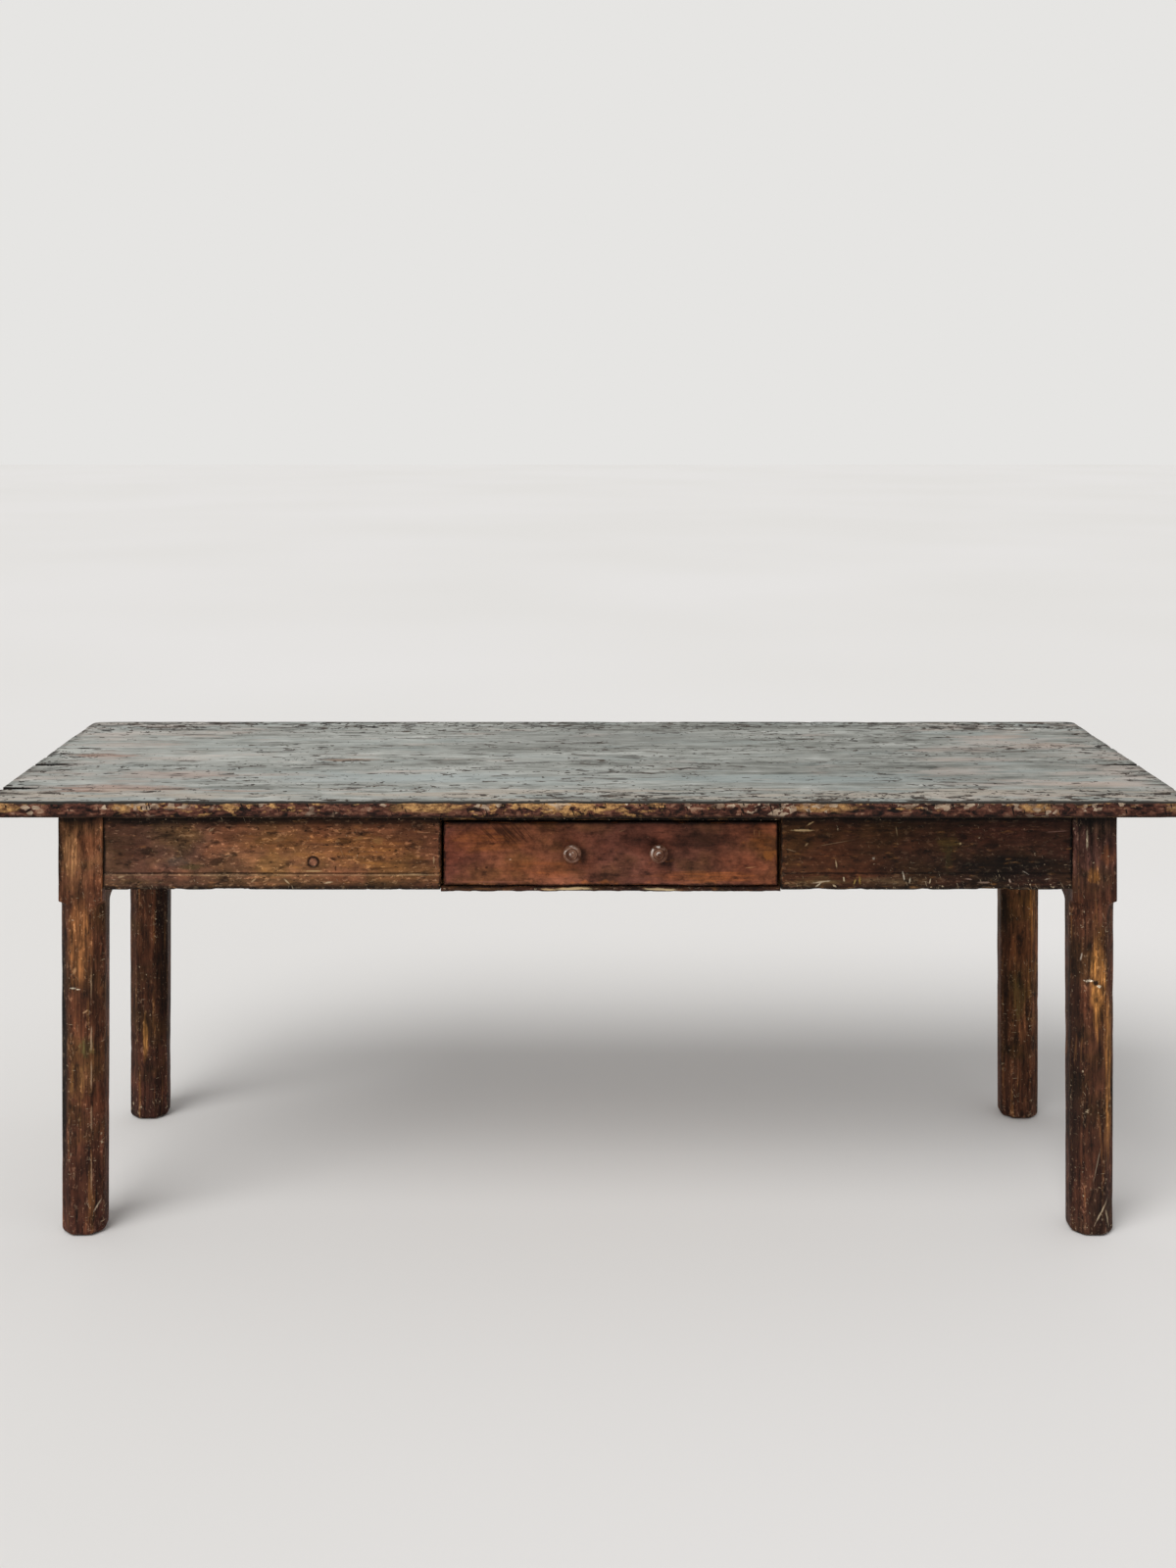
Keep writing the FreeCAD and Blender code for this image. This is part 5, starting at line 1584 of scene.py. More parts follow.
@dataclass
class DrawerBoard(Board):
    """The drawer's front: laps at its ends where the sides' tails show, and a wandering lower edge."""

    lap: float = -278.5
    lap_depth: float = 0.5
    # the lower edge waves in two lengths, and the wave dies out this far up
    wave_lengths: Pair = (47.0, 19.0)
    wave_reach: float = 14.0

    def shape(self, points: np.ndarray, box: np.ndarray) -> tuple[np.ndarray, dict[str, np.ndarray]]:
        """Step the ends back behind the face, and wave the lower edge.

        Args:
            points: Points on the eased board.
            box: The same points on the square box.

        Returns:
            The worked points and no further measures.
        """
        points = points.copy()
        behind = box[:, 1] > self.lap
        points[:, 0] += behind * (np.abs(box[:, 0] - self.low[0]) < TOUCH) * self.lap_depth
        points[:, 0] -= behind * (np.abs(box[:, 0] - self.high[0]) < TOUCH) * self.lap_depth
        near = np.clip(1.0 - (box[:, 2] - self.low[2]) / self.wave_reach, 0.0, 1.0)
        long, short = (box[:, 0] / length for length in self.wave_lengths)
        wave = 0.9 + 0.5 * np.sin(long) + 0.4 * np.sin(short + 1.3)
        points[:, 2] += near * np.clip(wave, 0.0, 2.0)
        return points, {}


@dataclass
class DrawerUnit:
    """The drawer's front and its two turned knobs; sizes in millimetres."""

    low: Triple = (-251.0, -285.0, 609.5)
    high: Triple = (331.0, -263.0, 722.0)
    knobs: tuple[tuple[str, float], ...] = (("left", -27.0), ("right", 123.0))
    knob_height: float = 670.75
    knob_profile: tuple[Pair, ...] = (
        (0.0, -20.0), (5.5, -20.0), (6.0, -1.0), (11.0, -0.6), (11.0, 0.4), (10.4, 1.6), (9.0, 3.2),
        (8.4, 5.5), (8.6, 8.0), (10.0, 10.4), (12.8, 12.4), (15.0, 14.6), (15.9, 17.0), (15.9, 18.8),
        (15.2, 21.2), (13.6, 23.3), (11.6, 24.8), (10.4, 25.2), (9.9, 24.6), (9.3, 24.5), (8.8, 25.3),
        (7.6, 25.9), (6.4, 26.0), (6.0, 25.5), (5.6, 25.9), (4.6, 27.1), (2.6, 27.8), (0.0, 28.0),
    )
    knob_proud: tuple[int, ...] = (15, 16, 25, 26, 27)
    knob_groove: tuple[int, ...] = (5, 6, 7, 8, 18, 19, 23)

    def build(self, weathering: Weathering, varnish: Material, knob: Material) -> None:
        """Build the front, wear it and hang the knobs on it.

        Args:
            weathering: The tree that wears a piece.
            varnish: The finish of the front.
            knob: The finish of the knobs.
        """
        ease = {face: 2.4 for face in Face}
        ease[Face.BACK] = 0.8
        front = DrawerBoard(
            name="worn_drawer_front",
            low=self.low,
            high=self.high,
            step=(4.5, 3.0, 4.0),
            ease=ease,
            hidden=(Face.BACK,),
        )
        piece = front.build()
        how = Wear(
            grain=(200.0, 8.0, 8.0), relief=0.5, dent=90.0, dent_depth=0.8, chip=(40.0, 20.0, 14.0),
            chip_depth=1.6, chip_reach=6.0, chip_level=0.5, seed=41.0
        )
        weathering.wear(piece, how, varnish)
        hand_over(piece, Body.DRAWER, ("drawer_front",))
        for side, place in self.knobs:
            turned = Turning(
                f"turned_knob_{side}", (place, self.knob_height), self.low[1], self.knob_profile,
                proud=self.knob_proud, groove=self.knob_groove,
            )
            hand_over(turned.build(knob), Body.DRAWER, (f"knob_{side}",))


class HeadTree(ShapeTree):
    """Geometry Nodes tree that drives one head, of a nail or a peg, into each point of a layout."""

    def __init__(self) -> None:
        """Build the tree once, for nails and pegs."""
        takes = {
            "Geometry": "Geometry", "Radius": "Float", "Crown": "Float", "Sides": "Int", "Seed": "Int",
            "Material": "Material",
        }
        super().__init__("driven heads", takes)
        given = self.given
        ball = self.add(
            "GeometryNodeMeshUVSphere", {"Segments": given["Sides"], "Rings": 6, "Radius": 1.0}
        )
        squash = {0: given["Radius"], 1: given["Radius"], 2: given["Crown"]}
        squash = self.add("ShaderNodeCombineXYZ", squash)
        head = self.add("GeometryNodeTransform", {"Geometry": ball, "Scale": squash})
        facing = self.add(
            "GeometryNodeInputNamedAttribute", {"Name": "facing"}, data_type="FLOAT_VECTOR"
        )
        stand = self.add("FunctionNodeAlignRotationToVector", {"Vector": facing}, axis="Z")
        size = self.add(
            "FunctionNodeRandomValue",
            {"Min": (0.86, 0.86, 0.8), "Max": (1.06, 1.06, 1.15), "Seed": given["Seed"]},
            data_type="FLOAT_VECTOR",
        )
        heads = self.add(
            "GeometryNodeInstanceOnPoints",
            {"Points": given["Geometry"], "Instance": head, "Rotation": stand, "Scale": size},
        )
        self.close(self.add("GeometryNodeSetShadeSmooth", {"Geometry": heads}))


@dataclass
class Fastenings:
    """Nail heads in the top, peg heads in the legs and the plug in the apron; sizes in millimetres."""

    nail_level: float = 773.2
    nail_radius: float = 4.6
    nail_crown: float = 1.5
    # lines of nails along the front and back boards, and over the end boards
    nail_line: float = 278.0
    back_nails: tuple[float, ...] = tuple(-774.0 + 309.6 * i for i in range(6))
    front_nails: tuple[float, ...] = (-774.0, -326.0, 406.0, 774.0)
    end_line: float = 905.0
    end_nails: tuple[float, ...] = (-188.0, -87.0, -39.0, 63.0, 111.0, 188.0)
    peg_radius: float = 4.5
    peg_crown: float = 0.9
    peg_rows: tuple[float, ...] = (639.0, 699.0)
    # X and Y of a peg head on the long side and on the end of the frame
    peg_long: Pair = (861.0, 288.6)
    peg_end: Pair = (920.6, 229.0)
    head_sides: int = 12
    seed: int = 5
    plug: Pair = (-478.0, 652.0)
    plug_face: float = -285.6
    plug_profile: tuple[Pair, ...] = (
        (0.0, -10.0), (8.6, -10.0), (9.0, -1.6), (8.8, -0.7), (7.8, -0.25), (5.0, 0.0), (0.0, 0.1)
    )

    def nail_points(self) -> list[Triple]:
        """Places of the nails that hold the top to its frame.

        Returns:
            Points in millimetres.
        """
        rows = [(x, self.nail_line) for x in self.back_nails]
        rows += [(x, -self.nail_line) for x in self.front_nails]
        rows += [(x, y) for x in (-self.end_line, self.end_line) for y in self.end_nails]
        return [(x, y, self.nail_level) for x, y in rows]

    def peg_points(self) -> tuple[list[Triple], list[Triple]]:
        """Places of the pegs that lock the apron joints.

        Returns:
            Points in millimetres, and the way each head faces.
        """
        points = []
        ways = []
        for z in self.peg_rows:
            for side in (-1.0, 1.0):
                for deep in (-1.0, 1.0):
                    points.append((side * self.peg_long[0], deep * self.peg_long[1], z))
                    ways.append((0.0, deep, 0.0))
                    points.append((side * self.peg_end[0], deep * self.peg_end[1], z))
                    ways.append((side, 0.0, 0.0))
        return points, ways

    def build(self, iron: Material, paint: Material, plug: Material) -> None:
        """Drive the heads and set the plug.

        Args:
            iron: The iron of the nails.
            paint: The paint over the pegs.
            plug: The paint over the plug.
        """
        tree = HeadTree().tree
        nails = self.nail_points()
        up = [(0.0, 0.0, 1.0)] * len(nails)
        pegs, out = self.peg_points()
        rows = (
            ("top_nails", nails, up, self.nail_radius, self.nail_crown, iron, "iron"),
            ("apron_pegs", pegs, out, self.peg_radius, self.peg_crown, paint, "apron_paint"),
        )
        for node, points, ways, radius, crown, finish, slot in rows:
            name = f"driven_{node}"
            mesh = bpy.data.meshes.new(name)
            mesh.from_pydata((np.array(points) * MM).tolist(), [], [])
            facing = mesh.attributes.new("facing", "FLOAT_VECTOR", "POINT")
            facing.data.foreach_set("vector", np.array(ways, dtype=np.float32).ravel())
            piece = new_object(name, mesh)
            values = {"Radius": radius * MM, "Crown": crown * MM, "Sides": self.head_sides}
            run_tree(piece, tree, {**values, "Seed": self.seed, "Material": finish})
            hand_over(piece, Body.TABLE, (node,))
        # the plug's outer rows carry the groove measure, where its paint lays painted shade in the ring
        # round the plug
        rim = (1, 2, 3, 4)
        shape = (self.plug, self.plug_face, self.plug_profile)
        disc = Turning("worn_apron_plug", *shape, groove=rim, sides=40)
        hand_over(disc.build(plug), Body.TABLE, ("apron_plug",))


@dataclass
class HiddenJoinery:
    """The pieces behind the front, kept as they were cut and given their timber or iron."""

    along_x: tuple[str, ...] = ("drawer_back", "drawer_bottom", "knob_wedges")
    tongues: int = 4
    # each of these has a left and a right
    along_y: tuple[str, ...] = ("batten", "bearer", "runner", "kicker", "drawer_side")
    irons: tuple[str, ...] = ("batten_nails", "runner_nails", "drawer_nails")

    def dress(
        self, nodes: dict[str, bpy.types.Object], wide: Material, deep: Material, iron: Material
    ) -> None:
        """Give each kept piece its finish.

        Args:
            nodes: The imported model's objects by name.
            wide: Pine whose grain runs along X.
            deep: Pine whose grain runs along Y.
            iron: The iron of the nails.
        """
        sides = ("left", "right")
        tongues = [f"top_tongue_{number + 1}" for number in range(self.tongues)]
        across = [*tongues, *self.along_x, *(f"drawer_stop_{side}" for side in sides)]
        pairs = [f"{name}_{side}" for name in self.along_y for side in sides]
        for names, finish in ((across, wide), (pairs, deep), (self.irons, iron)):
            for name in names:
                for slot in nodes[name].material_slots:
                    slot.material = finish
                LOG.info("%s: kept as cut, in %s", name, finish.name)


@dataclass
class Studio:
    """Pale floor, soft light and the camera; lengths in metres."""

    floor_size: float = 60.0
    camera: Triple = (-0.042, -3.441, 1.484)
    lens: float = 41.6
    shift: Pair = (0.0156, -0.255)
    surround: float = 0.55
    wall: str = "e6e5e3"
    sun: float = 1.9
    sun_way: Pair = (50.0, -35.0)
    sun_softness: float = 38.0

    def build(self) -> None:
        """Set up floor, world, lamps and camera."""
        self._floor()
        self._world()
        self._lamp()
        lens = bpy.data.cameras.new("photo_camera")
        lens.lens = self.lens
        lens.sensor_width = 36.0
        lens.shift_x, lens.shift_y = self.shift
        lens.clip_end = 200.0
        camera = bpy.data.objects.new("photo_camera", lens)
        camera.location = self.camera
        camera.rotation_euler = (math.radians(90.0), 0.0, 0.0)
        bpy.context.scene.collection.objects.link(camera)
        bpy.context.scene.camera = camera
        bpy.context.scene.view_settings.view_transform = "Standard"

    def _floor(self) -> None:
        """Lay a plain pale floor that takes the table's shadow."""
        half = 0.5 * self.floor_size
        mesh = bpy.data.meshes.new("pale_floor")
        corners = [(-half, -half, 0.0), (half, -half, 0.0), (half, half, 0.0), (-half, half, 0.0)]
        mesh.from_pydata(corners, [], [(0, 1, 2, 3)])
        coat = Coat("pale_limewashed_floor")
        cloud = coat.streaks((2600, 2600, 2600), 95.0, detail=1.0)
        colour = coat.add(Kind.RAMP, {0: cloud}, stops=((0.3, "e1dfdc"), (0.7, "e4e2e0")))
        matt = coat.add(Kind.RANGE, {0: cloud, 1: 0.3, 2: 0.7, 3: 0.85, 4: 0.95})
        mesh.materials.append(coat.close(colour, matt, cloud, 0.1, specular=0.1))
        new_object("pale_floor", mesh)

    def _world(self) -> None:
        """Light all round softly, and show the eye a pale wall tone."""
        world = bpy.data.worlds.new("soft_studio")
        bpy.context.scene.world = world
        world.use_nodes = True
        tree = world.node_tree
        tree.nodes.clear()
        path = add_node(tree, "ShaderNodeLightPath").node.outputs
        seen = path["Is Camera Ray"]
        for kind in ("Is Glossy Ray", "Is Transmission Ray"):
            seen = add_node(tree, "ShaderNodeMath", {0: seen, 1: path[kind]}, operation="MAXIMUM")
        white = srgb("ffffff")
        light = add_node(tree, "ShaderNodeBackground", {"Color": white, "Strength": self.surround})
        wall = add_node(tree, "ShaderNodeBackground", {"Color": srgb(self.wall), "Strength": 1.0})
        both = add_node(tree, "ShaderNodeMixShader", {0: seen, 1: light, 2: wall})
        add_node(tree, "ShaderNodeOutputWorld", {"Surface": both})

    def _lamp(self) -> None:
        """Hang one large soft light high at the front left, even over the whole floor."""
        light = bpy.data.lights.new("soft_key", "SUN")
        light.energy = self.sun
        light.angle = math.radians(self.sun_softness)
        hung = bpy.data.objects.new("soft_key", light)
        high, aside = self.sun_way
        hung.rotation_euler = (math.radians(90.0 - high), 0.0, math.radians(aside))
        bpy.context.scene.collection.objects.link(hung)


def front_paint() -> ScumbledPaint:
    """Paint of the front boards: ochre-worn to the left, nearly black to the right, with painted shade
    under the top and at the legs.

    Returns:
        The paint, not yet mixed.
    """
    return ScumbledPaint(
        name="brown_scumble_on_pine_front",
        grain=Axis.X,
        tones=(
            (0.02, "664a36"), (0.98, "3b241a"), (0.1, "6d4e3e"), (0.2, "936646"), (0.31, "7e5338"),
            (0.4, "6a4430"), (0.7, "4f301d"), (0.85, "3a2418"),
        ),
        rough_below=632.0,
        pale_level=0.642,
        scuff_level=0.155,
        scuff_right=0.38,
        mottle=(24.0, 14.0),
        wear_size=(34.0, 9.0),
        contrast=0.62,
        depth=0.6,
        seed=1.0,
        patches=(
            ColourPatch((-390, -286, 672), (130, 60, 40), "96632f", 0.6),
            ColourPatch((-545, -286, 690), (110, 60, 34), "83532b", 0.55),
            ColourPatch((-790, -286, 668), (60, 60, 60), "46281c", 0.7),
            ColourPatch((-640, -286, 640), (90, 60, 26), "45301d", 0.6),
            ColourPatch((-300, -286, 690), (40, 60, 40), "573321", 0.6),
            ColourPatch((720, -286, 640), (160, 60, 36), "0d0806", 0.9, 0.7, 0.3),
            ColourPatch((560, -286, 650), (90, 60, 34), "23150d", 0.6),
            ColourPatch((628, -286, 686), (26, 60, 24), "4b3a1b", 0.8),
            ColourPatch((690, -286, 705), (120, 60, 26), "44231a", 0.6),
            ColourPatch((374, -286, 707), (24, 20, 2.6), "c4a87c", 0.9, 0.3, 0.0),
            ColourPatch((400, -286, 616), (60, 60, 14), "5d4b30", 0.7, 0.9, 0.6),
            ColourPatch((520, -286, 617), (90, 60, 12), "4f3f2c", 0.6, 0.9, 0.6),
            ColourPatch((-560, -286, 612), (700, 60, 18), "3f2e1d", 0.7),
            # painted highlight: a pale line under the bead on the left board
            ColourPatch((-550, -286, 629), (480, 60, 2.4), "a88b68", 0.4, 0.9, 0.5),
            ColourPatch((0, -286, 601), (5000, 60, 15), "1a110a", 0.9, 0.7, 0.2),
            # painted shade: dark strips where the front boards meet the legs
            ColourPatch((-844, -286, 675), (7, 60, 90), "0b0604", 0.95, 0.4, 0.0),
            ColourPatch((844, -286, 675), (7, 60, 90), "0b0604", 0.95, 0.4, 0.0),
            # painted shadow under the top's overhang: a near-black band on the upper apron
            ColourPatch((0, -286, 741), (5000, 60, 36), "0b0705", 0.95, 0.3, 0.0),
        ),
        marks=(
            fine_mark((-478, -286, 636), (24, 1.6), "c2a173"),
            fine_mark((-365, -286, 689), (14, 8), "b0824f", 0.0, 0.55),
            fine_mark((-398, -286, 693), (12, 4), "a87b4c", 20.0, 0.5),
            fine_mark((-537, -286, 690), (13, 4), "9d7650", 10.0, 0.5),
            fine_mark((-655, -286, 708), (8, 2.5), "a88a6a", 35.0),
            fine_mark((-631, -286, 624), (7, 5), "2a170d"),
            fine_mark((-443, -286, 657), (7, 3), "2a170d", -20.0),
            fine_mark((-439, -286, 641), (2.2, 6), "2a150b"),
            fine_mark((-535, -286, 680), (10, 4), "3a2415", 0.0, 0.6),
            fine_mark((-455, -286, 697), (8, 6), "3a2213", 30.0, 0.6),
            fine_mark((-268, -286, 655), (1.8, 10), "b39470"),
            fine_mark((-452, -286, 616), (9, 2), "c8ae8c", 10.0),
            fine_mark((-524, -286, 618), (8, 1.8), "bda27d", -40.0),
            fine_mark((-582, -286, 620), (7, 2), "b08f6a", 40.0),
            fine_mark((-813, -286, 626), (8, 2.5), "a98c6d", 15.0),
            # painted highlight along the bead line, next to the drawer
            fine_mark((-300, -286, 630), (42, 1.5), "b99a72", 0.0, 0.6),
            fine_mark((-690, -286, 643), (30, 7), "3e4020", 0.0, 0.5),
            fine_mark((-713, -286, 653), (28, 12), "565049", 0.0, 0.4),
            fine_mark((-370, -286, 640), (34, 3), "3f2213", 3.0, 0.6),
            fine_mark((388, -286, 719), (9, 1.6), "b59a70", 30.0),
            fine_mark((381, -286, 682), (5, 2), "9a7f5f", 45.0),
            fine_mark((432, -286, 685), (36, 1.1), "7d6249", 10.0),
            fine_mark((355, -286, 672), (12, 1.2), "8f7558", -15.0),
            fine_mark((628, -286, 660), (9, 36), "3d331c", 0.0, 0.5),
            fine_mark((649, -286, 684), (2.5, 3), "b0986f"),
            fine_mark((433, -286, 648), (1.6, 9), "b59b78", 8.0),
            fine_mark((474, -286, 620), (2.4, 9), "94773a", 5.0),
            fine_mark((465, -286, 617), (1.5, 8), "a98c4c", -18.0),
            fine_mark((550, -286, 628), (1.7, 9), "cfc3ae", 12.0),
            fine_mark((561, -286, 620), (1.5, 6), "c4b59b", -10.0),
            fine_mark((763, -286, 633), (9, 1.7), "8f8478", -30.0),
            fine_mark((690, -286, 616), (14, 2), "8a7264"),
            fine_mark((407, -286, 617), (18, 2), "b8a58a", 8.0),
            fine_mark((538, -286, 706), (1.4, 11), "8a7455", 10.0),
            fine_mark((498, -286, 658), (3, 3), "9a8f80"),
            fine_mark((402, -286, 612), (7, 1.8), "cabba0", 35.0),
            fine_mark((430, -286, 610), (5, 2.2), "bfa988", -30.0),
            fine_mark((446, -286, 622), (2, 5), "c9b896", 10.0),
            fine_mark((596, -286, 618), (1.6, 6), "b5a285", -14.0),
            fine_mark((664, -286, 622), (8, 1.6), "9a7f72", -8.0),
            fine_mark((735, -286, 619), (2, 5), "b8a08c", 18.0),
            fine_mark((800, -286, 622), (6, 1.6), "8f8172", 12.0),
            fine_mark((818, -286, 705), (24, 1.4), "7a5a50", 4.0),
        ),
    )


def rail_paint() -> ScumbledPaint:
    """Paint of the rails over and under the drawer, nearly black and chipped to cream, with painted
    shadow under the top.

    Returns:
        The paint, not yet mixed.
    """
    return ScumbledPaint(
        name="brown_scumble_on_rails",
        grain=Axis.X,
        tones=((0.0, "4a2f1f"), (1.0, "38231a"), (0.5, "3d261a")),
        outline=0.45,
        seed=151.0,
        # painted shadow under the top's overhang, on the rail over the drawer
        patches=(ColourPatch((0, -286, 741), (5000, 60, 36), "0b0705", 0.95, 0.3, 0.0),),
        marks=(
            fine_mark((-24, -287, 605), (44, 2.8), "dcc093", 1.5, 0.9),
            fine_mark((-70, -287, 604), (16, 2.2), "cba77a", -4.0, 0.9),
            fine_mark((128, -287, 604), (36, 2.6), "d2b88e", -1.5, 0.9),
            fine_mark((-180, -286, 605), (30, 1.4), "7a5636", 0.0, 0.6),
        ),
    )


def end_paint() -> ScumbledPaint:
    """Paint of the end boards, plain and a little dusty.

    Returns:
        The paint, not yet mixed.
    """
    return ScumbledPaint(
        name="brown_scumble_on_pine_ends",
        grain=Axis.Y,
        tones=((0.1, "5a3821"), (0.9, "472b19"), (0.5, "643f25")),
        tone_axis=Axis.Y,
        reach=(-0.25, 0.25),
        seed=101.0,
    )


def plug_paint() -> ScumbledPaint:
    """Paint over the plug, rubbed lighter than the board round it.

    Returns:
        The paint, not yet mixed.
    """
    return ScumbledPaint(
        name="brown_scumble_on_plug",
        grain=Axis.Z,
        tones=((0.0, "7d5640"), (1.0, "7d5640")),
        mottle=(12.0, 8.0),
        outline=0.0,
        seed=141.0,
    )


def rear_paint() -> ScumbledPaint:
    """Paint of the back board, thin and dull.

    Returns:
        The paint, not yet mixed.
    """
    return ScumbledPaint(
        name="brown_scumble_on_pine_back",
        grain=Axis.X,
        tones=((0.05, "492d1b"), (0.95, "422716"), (0.35, "573720"), (0.65, "4c2e1b")),
        seed=121.0,
        gloss=(0.5, 0.7),
    )


def leg_paints() -> dict[str, ScumbledPaint]:
    """Paint of each leg: ochre streaks on the upper shafts, dark and knocked below, with painted shadow
    under the top on the front legs.

    Returns:
        The paints by the leg's place.
    """
    patches = {
        "front_left": (
            ColourPatch((-885, -290, 515), (26, 30, 85), "8a5a34", 0.9, 0.5, 0.55),
            ColourPatch((-872, -290, 330), (16, 30, 22), "4a4426", 0.8),
            ColourPatch((-883, -290, 270), (30, 40, 45), "74522f", 0.6, 0.7, 0.8),
            ColourPatch((-883, -290, 90), (40, 60, 90), "241209", 0.6),
            ColourPatch((-917, -276, 330), (15, 26, 340), "0c0705", 0.95, 0.3, 0.0),
            ColourPatch((-896, -290, 433), (7, 20, 1.5), "d8cab2", 0.85, 0.9, 0.0),
            ColourPatch((-887, -290, 431), (6, 20, 1.3), "cdbda4", 0.8, 0.9, 0.0),
            ColourPatch((-898, -290, 668), (20, 34, 50), "a3764d", 0.75, 0.7, 0.7),
            ColourPatch((-923, -290, 670), (12, 60, 110), "150c08", 0.9, 0.4, 0.2),
            # painted shadow under the top, on the head of the leg
            ColourPatch((-883, -290, 739), (90, 90, 34), "0b0705", 0.95, 0.3, 0.0),
        ),
        "front_right": (
            ColourPatch((889, -290, 442), (18, 30, 110), "a06c38", 0.95, 0.55, 0.65),
            ColourPatch((908, -283, 280), (10, 24, 190), "85582a", 0.85, 0.5, 0.6),
            ColourPatch((850, -272, 300), (15, 60, 330), "120a07", 0.85, 0.5, 0.3),
            # painted shadow under the top, on the head of the leg
            ColourPatch((883, -290, 739), (90, 90, 34), "0b0705", 0.95, 0.3, 0.0),
            ColourPatch((880, -290, 628), (14, 40, 18), "845628", 0.75),
            ColourPatch((905, -290, 662), (15, 40, 22), "73462b", 0.7),
            ColourPatch((869, -290, 691), (2.4, 20, 24), "b3a48b", 0.7, 0.7, 0.2),
            ColourPatch((890, -290, 60), (26, 30, 50), "2c1f16", 0.6),
            ColourPatch((884, -290, 442), (8, 20, 7), "0f0805", 0.95, 0.3, 0.0),
            ColourPatch((872, -290, 446), (9, 20, 2.4), "d8cab2", 0.9, 1.0, 0.0),
            ColourPatch((889, -290, 436), (5, 20, 3), "d8cab2", 0.9, 0.9, 0.0),
        ),
        "back_left": (
            ColourPatch((-885, 212, 165), (6, 30, 60), "a3713c", 0.85, 0.6, 0.5),
            ColourPatch((-850, 215, 400), (20, 60, 280), "0f0906", 0.85, 0.6, 0.2),
        ),
        "back_right": (
            ColourPatch((905, 214, 420), (9, 40, 130), "8a5825", 0.8, 0.6, 0.8),
            ColourPatch((875, 212, 250), (22, 40, 70), "3b3519", 0.7),
            ColourPatch((850, 215, 350), (14, 60, 280), "120a06", 0.8, 0.6, 0.2),
        ),
    }
    scratches = {
        "front_left": (
            fine_mark((-856, -276, 50), (2, 14), "c0aa92", -30.0),
            fine_mark((-874, -290, 392), (7, 2.4), "b08a66", 30.0),
            fine_mark((-893, -290, 463), (4, 8), "b0835a", -20.0),
            fine_mark((-864, -290, 440), (1.6, 36), "a98a6c", 0.0, 0.55),
            fine_mark((-864, -290, 345), (1.9, 30), "b3967a", 0.0, 0.65),
            fine_mark((-864, -290, 280), (1.6, 34), "b3967a", 0.0, 0.65),
            fine_mark((-864, -290, 205), (1.8, 30), "a98a6c", 0.0, 0.6),
            fine_mark((-864, -290, 105), (1.6, 40), "b3967a", 0.0, 0.55),
        ),
        "front_right": (
            fine_mark((893, -290, 42), (2, 30), "b9a488", -28.0),
            fine_mark((906, -286, 30), (1.8, 20), "b9a488", 12.0),
            fine_mark((886, -290, 125), (1.4, 40), "8f7f6b", -12.0, 0.6),
            fine_mark((860, -283, 487), (1.6, 9), "b0a090", -10.0),
        ),
    }
    # tones of foot, head, lower shaft and upper shaft
    tones = {
        "front_left": ("44271d", "865c3e", "4d2f1e", "4d2f1e"),
        "front_right": ("3b251b", "4c3530", "452a1b", "452a1b"),
        "back_left": ("39221a", "52362a", "412819", "412819"),
        "back_right": ("452b1d", "5a3a24", "55361f", "55361f"),
    }
    return {
        place: ScumbledPaint(
            name=f"brown_scumble_on_leg_{place}",
            grain=Axis.Z,
            tones=tuple(zip((0.0, 1.0, 0.35, 0.78), tones[place])),
            rough_below=40.0,
            pale_level=0.635,
            tone_axis=Axis.Z,
            reach=(0.0, 0.75),
            wear_size=(130.0, 7.0),
            wear_level=0.62,
            outline=0.0,
            depth=1.25,
            mottle=(60.0, 14.0),
            # each leg's patches hold paint and wear, and on the front legs a painted shadow under the top
            patches=worn,
            marks=scratches.get(place, ()),
            seed=201.0 + 13.0 * number,
        )
        for number, (place, worn) in enumerate(patches.items())
    }


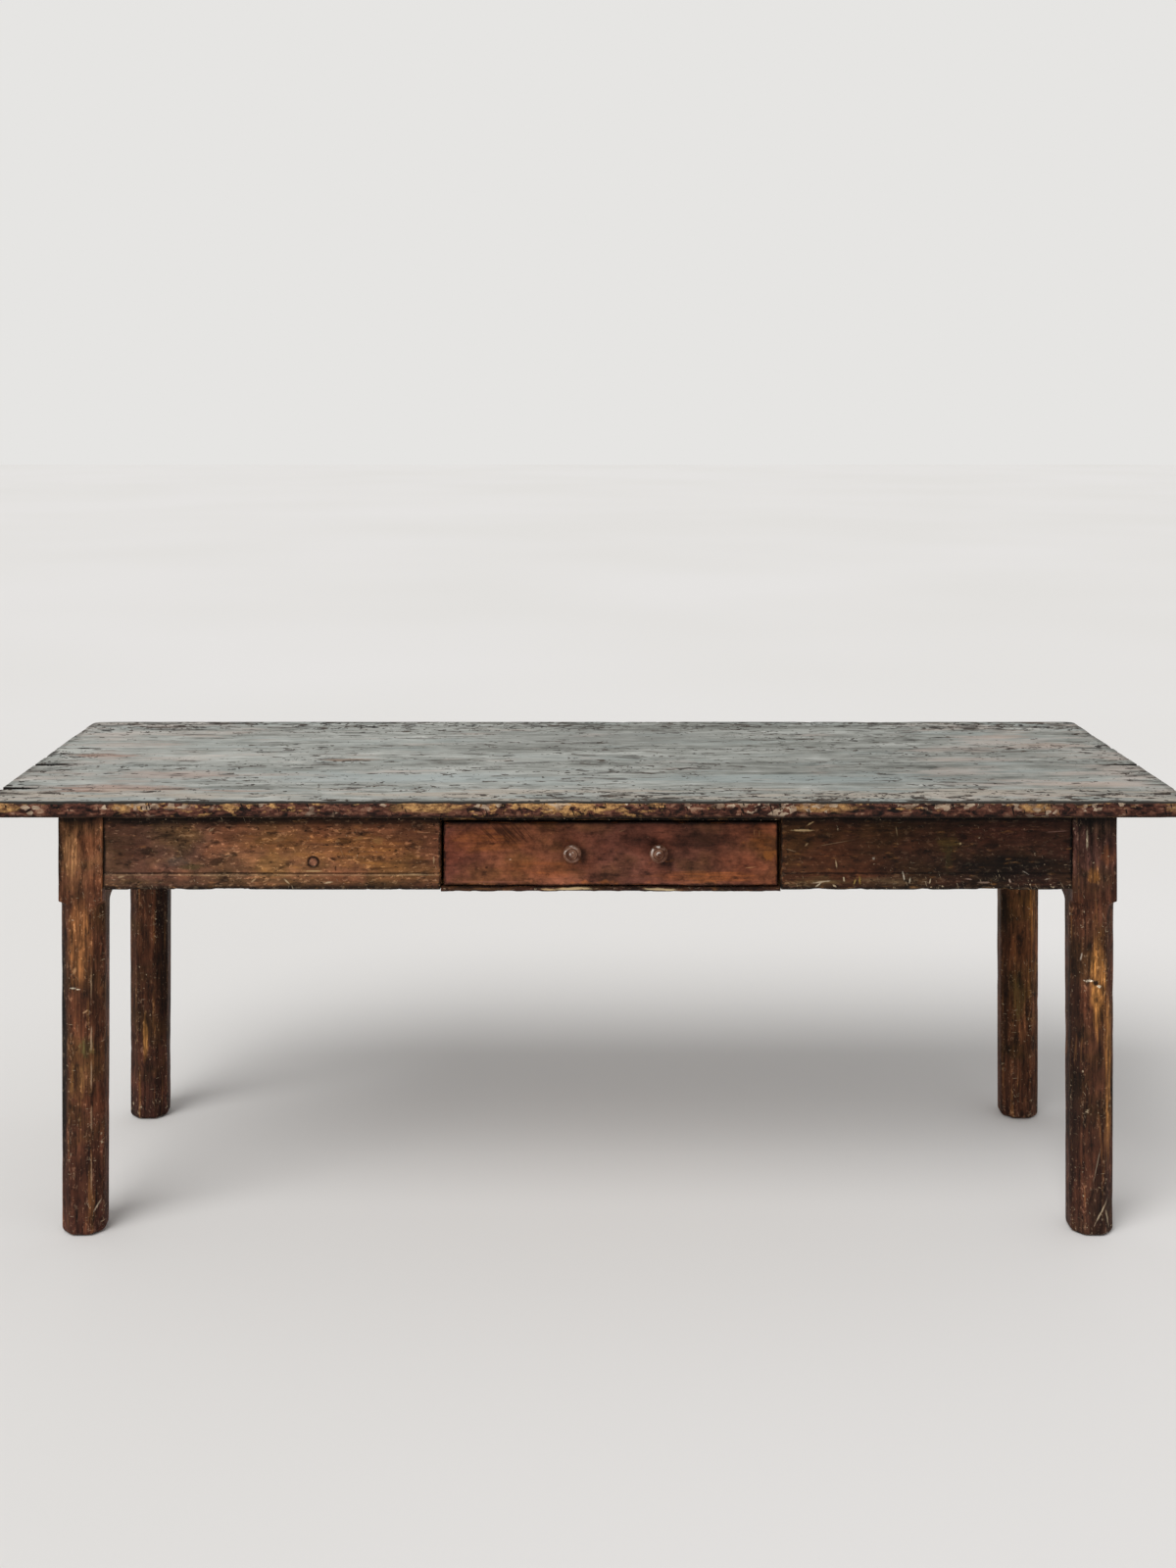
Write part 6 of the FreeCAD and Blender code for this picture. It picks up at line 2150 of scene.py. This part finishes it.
def drawer_varnish() -> ScumbledPaint:
    """Red-brown varnish of the drawer's front, rubbed orange, with dirt and a painted shadow round the
    knobs and painted shade at the top.

    Returns:
        The varnish, not yet mixed.
    """
    return ScumbledPaint(
        name="red_brown_varnish_on_drawer",
        grain=Axis.X,
        tones=((0.0, "6f4132"), (1.0, "79482f"), (0.25, "875338"), (0.5, "6a4133"), (0.75, "684132")),
        reach=(-0.251, 0.331),
        contrast=0.78,
        depth=0.4,
        wear="9d5c28",
        wear_level=0.64,
        grime_and_shade="180c07",
        grime_level=0.6,
        pale_level=0.72,
        seed=301.0,
        gloss=(0.34, 0.52),
        strokes=(ColourPatch((-135, -285, 704), (80, 40, 26), "3f2215", 0.7, 0.5),),
        patches=(
            ColourPatch((-170, -285, 690), (80, 40, 30), "925629", 0.6),
            ColourPatch((-80, -285, 640), (90, 40, 22), "844724", 0.5),
            ColourPatch((190, -285, 690), (80, 40, 26), "24140d", 0.8, 0.7, 0.3),
            ColourPatch((40, -285, 625), (60, 40, 20), "2e170e", 0.6),
            ColourPatch((200, -285, 626), (130, 40, 13), "98562a", 0.7),
            ColourPatch((300, -285, 690), (26, 40, 30), "824a22", 0.6),
            # dirt round each knob, set to its right so that it is also a painted shadow of the knob
            ColourPatch((-17, -285, 662), (24, 30, 22), "1c0f09", 0.9, 0.4, 0.2),
            ColourPatch((134, -285, 661), (26, 30, 23), "190d08", 0.9, 0.4, 0.2),
            ColourPatch((88, -285, 688), (28, 40, 10), "2b1a14", 0.7),
            # painted shade along the drawer's upper edge, under the rail and the top
            ColourPatch((40, -285, 730), (3000, 60, 18), "0d0705", 0.9, 0.3, 0.0),
        ),
        marks=(
            fine_mark((-135, -285, 656), (2.6, 2), "c9a98c"),
            fine_mark((-176, -285, 642), (3, 2.5), "2a130b"),
            fine_mark((316, -285, 663), (12, 13), "b06a30", 0.0, 0.55),
            fine_mark((284, -285, 642), (11, 1.2), "b5835a", 5.0),
            fine_mark((-170, -285, 617), (76, 1.8), "9a6350", 0.0, 0.5),
            fine_mark((290, -285, 703), (1.6, 9), "9c6a44", 4.0, 0.6),
            fine_mark((299, -285, 701), (1.4, 8), "9c6a44", -4.0, 0.6),
            fine_mark((60, -285, 706), (10, 1.3), "8f6a4d", 20.0, 0.6),
            fine_mark((-60, -285, 706), (14, 1.2), "36190e", -12.0, 0.6),
        ),
    )


def main() -> None:
    """Build the table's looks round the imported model, piece by piece."""
    logging.basicConfig(level=logging.INFO, format="%(name)s %(message)s")
    for spare in list(bpy.data.objects):
        bpy.data.objects.remove(spare)
    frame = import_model()
    Studio().build()
    weathering = Weathering()
    iron = RustedIron().mix()
    front = front_paint().mix()
    ends = end_paint().mix()
    legs = {place: paint.mix() for place, paint in leg_paints().items()}
    PlankTop().build(weathering, ChalkPaintTop().mix())
    LegSet().build(weathering, legs)
    ApronFrame().build(weathering, front, ends, rear_paint().mix(), rail_paint().mix())
    DrawerUnit().build(weathering, drawer_varnish().mix(), TurnedVarnish().mix())
    Fastenings().build(iron, ends, plug_paint().mix())
    HiddenJoinery().dress(
        frame["nodes"], BarePine("aged_pine_grain_across", Axis.X).mix(),
        BarePine("aged_pine_grain_deep", Axis.Y).mix(), iron,
    )


if __name__ == "__main__":
    main()
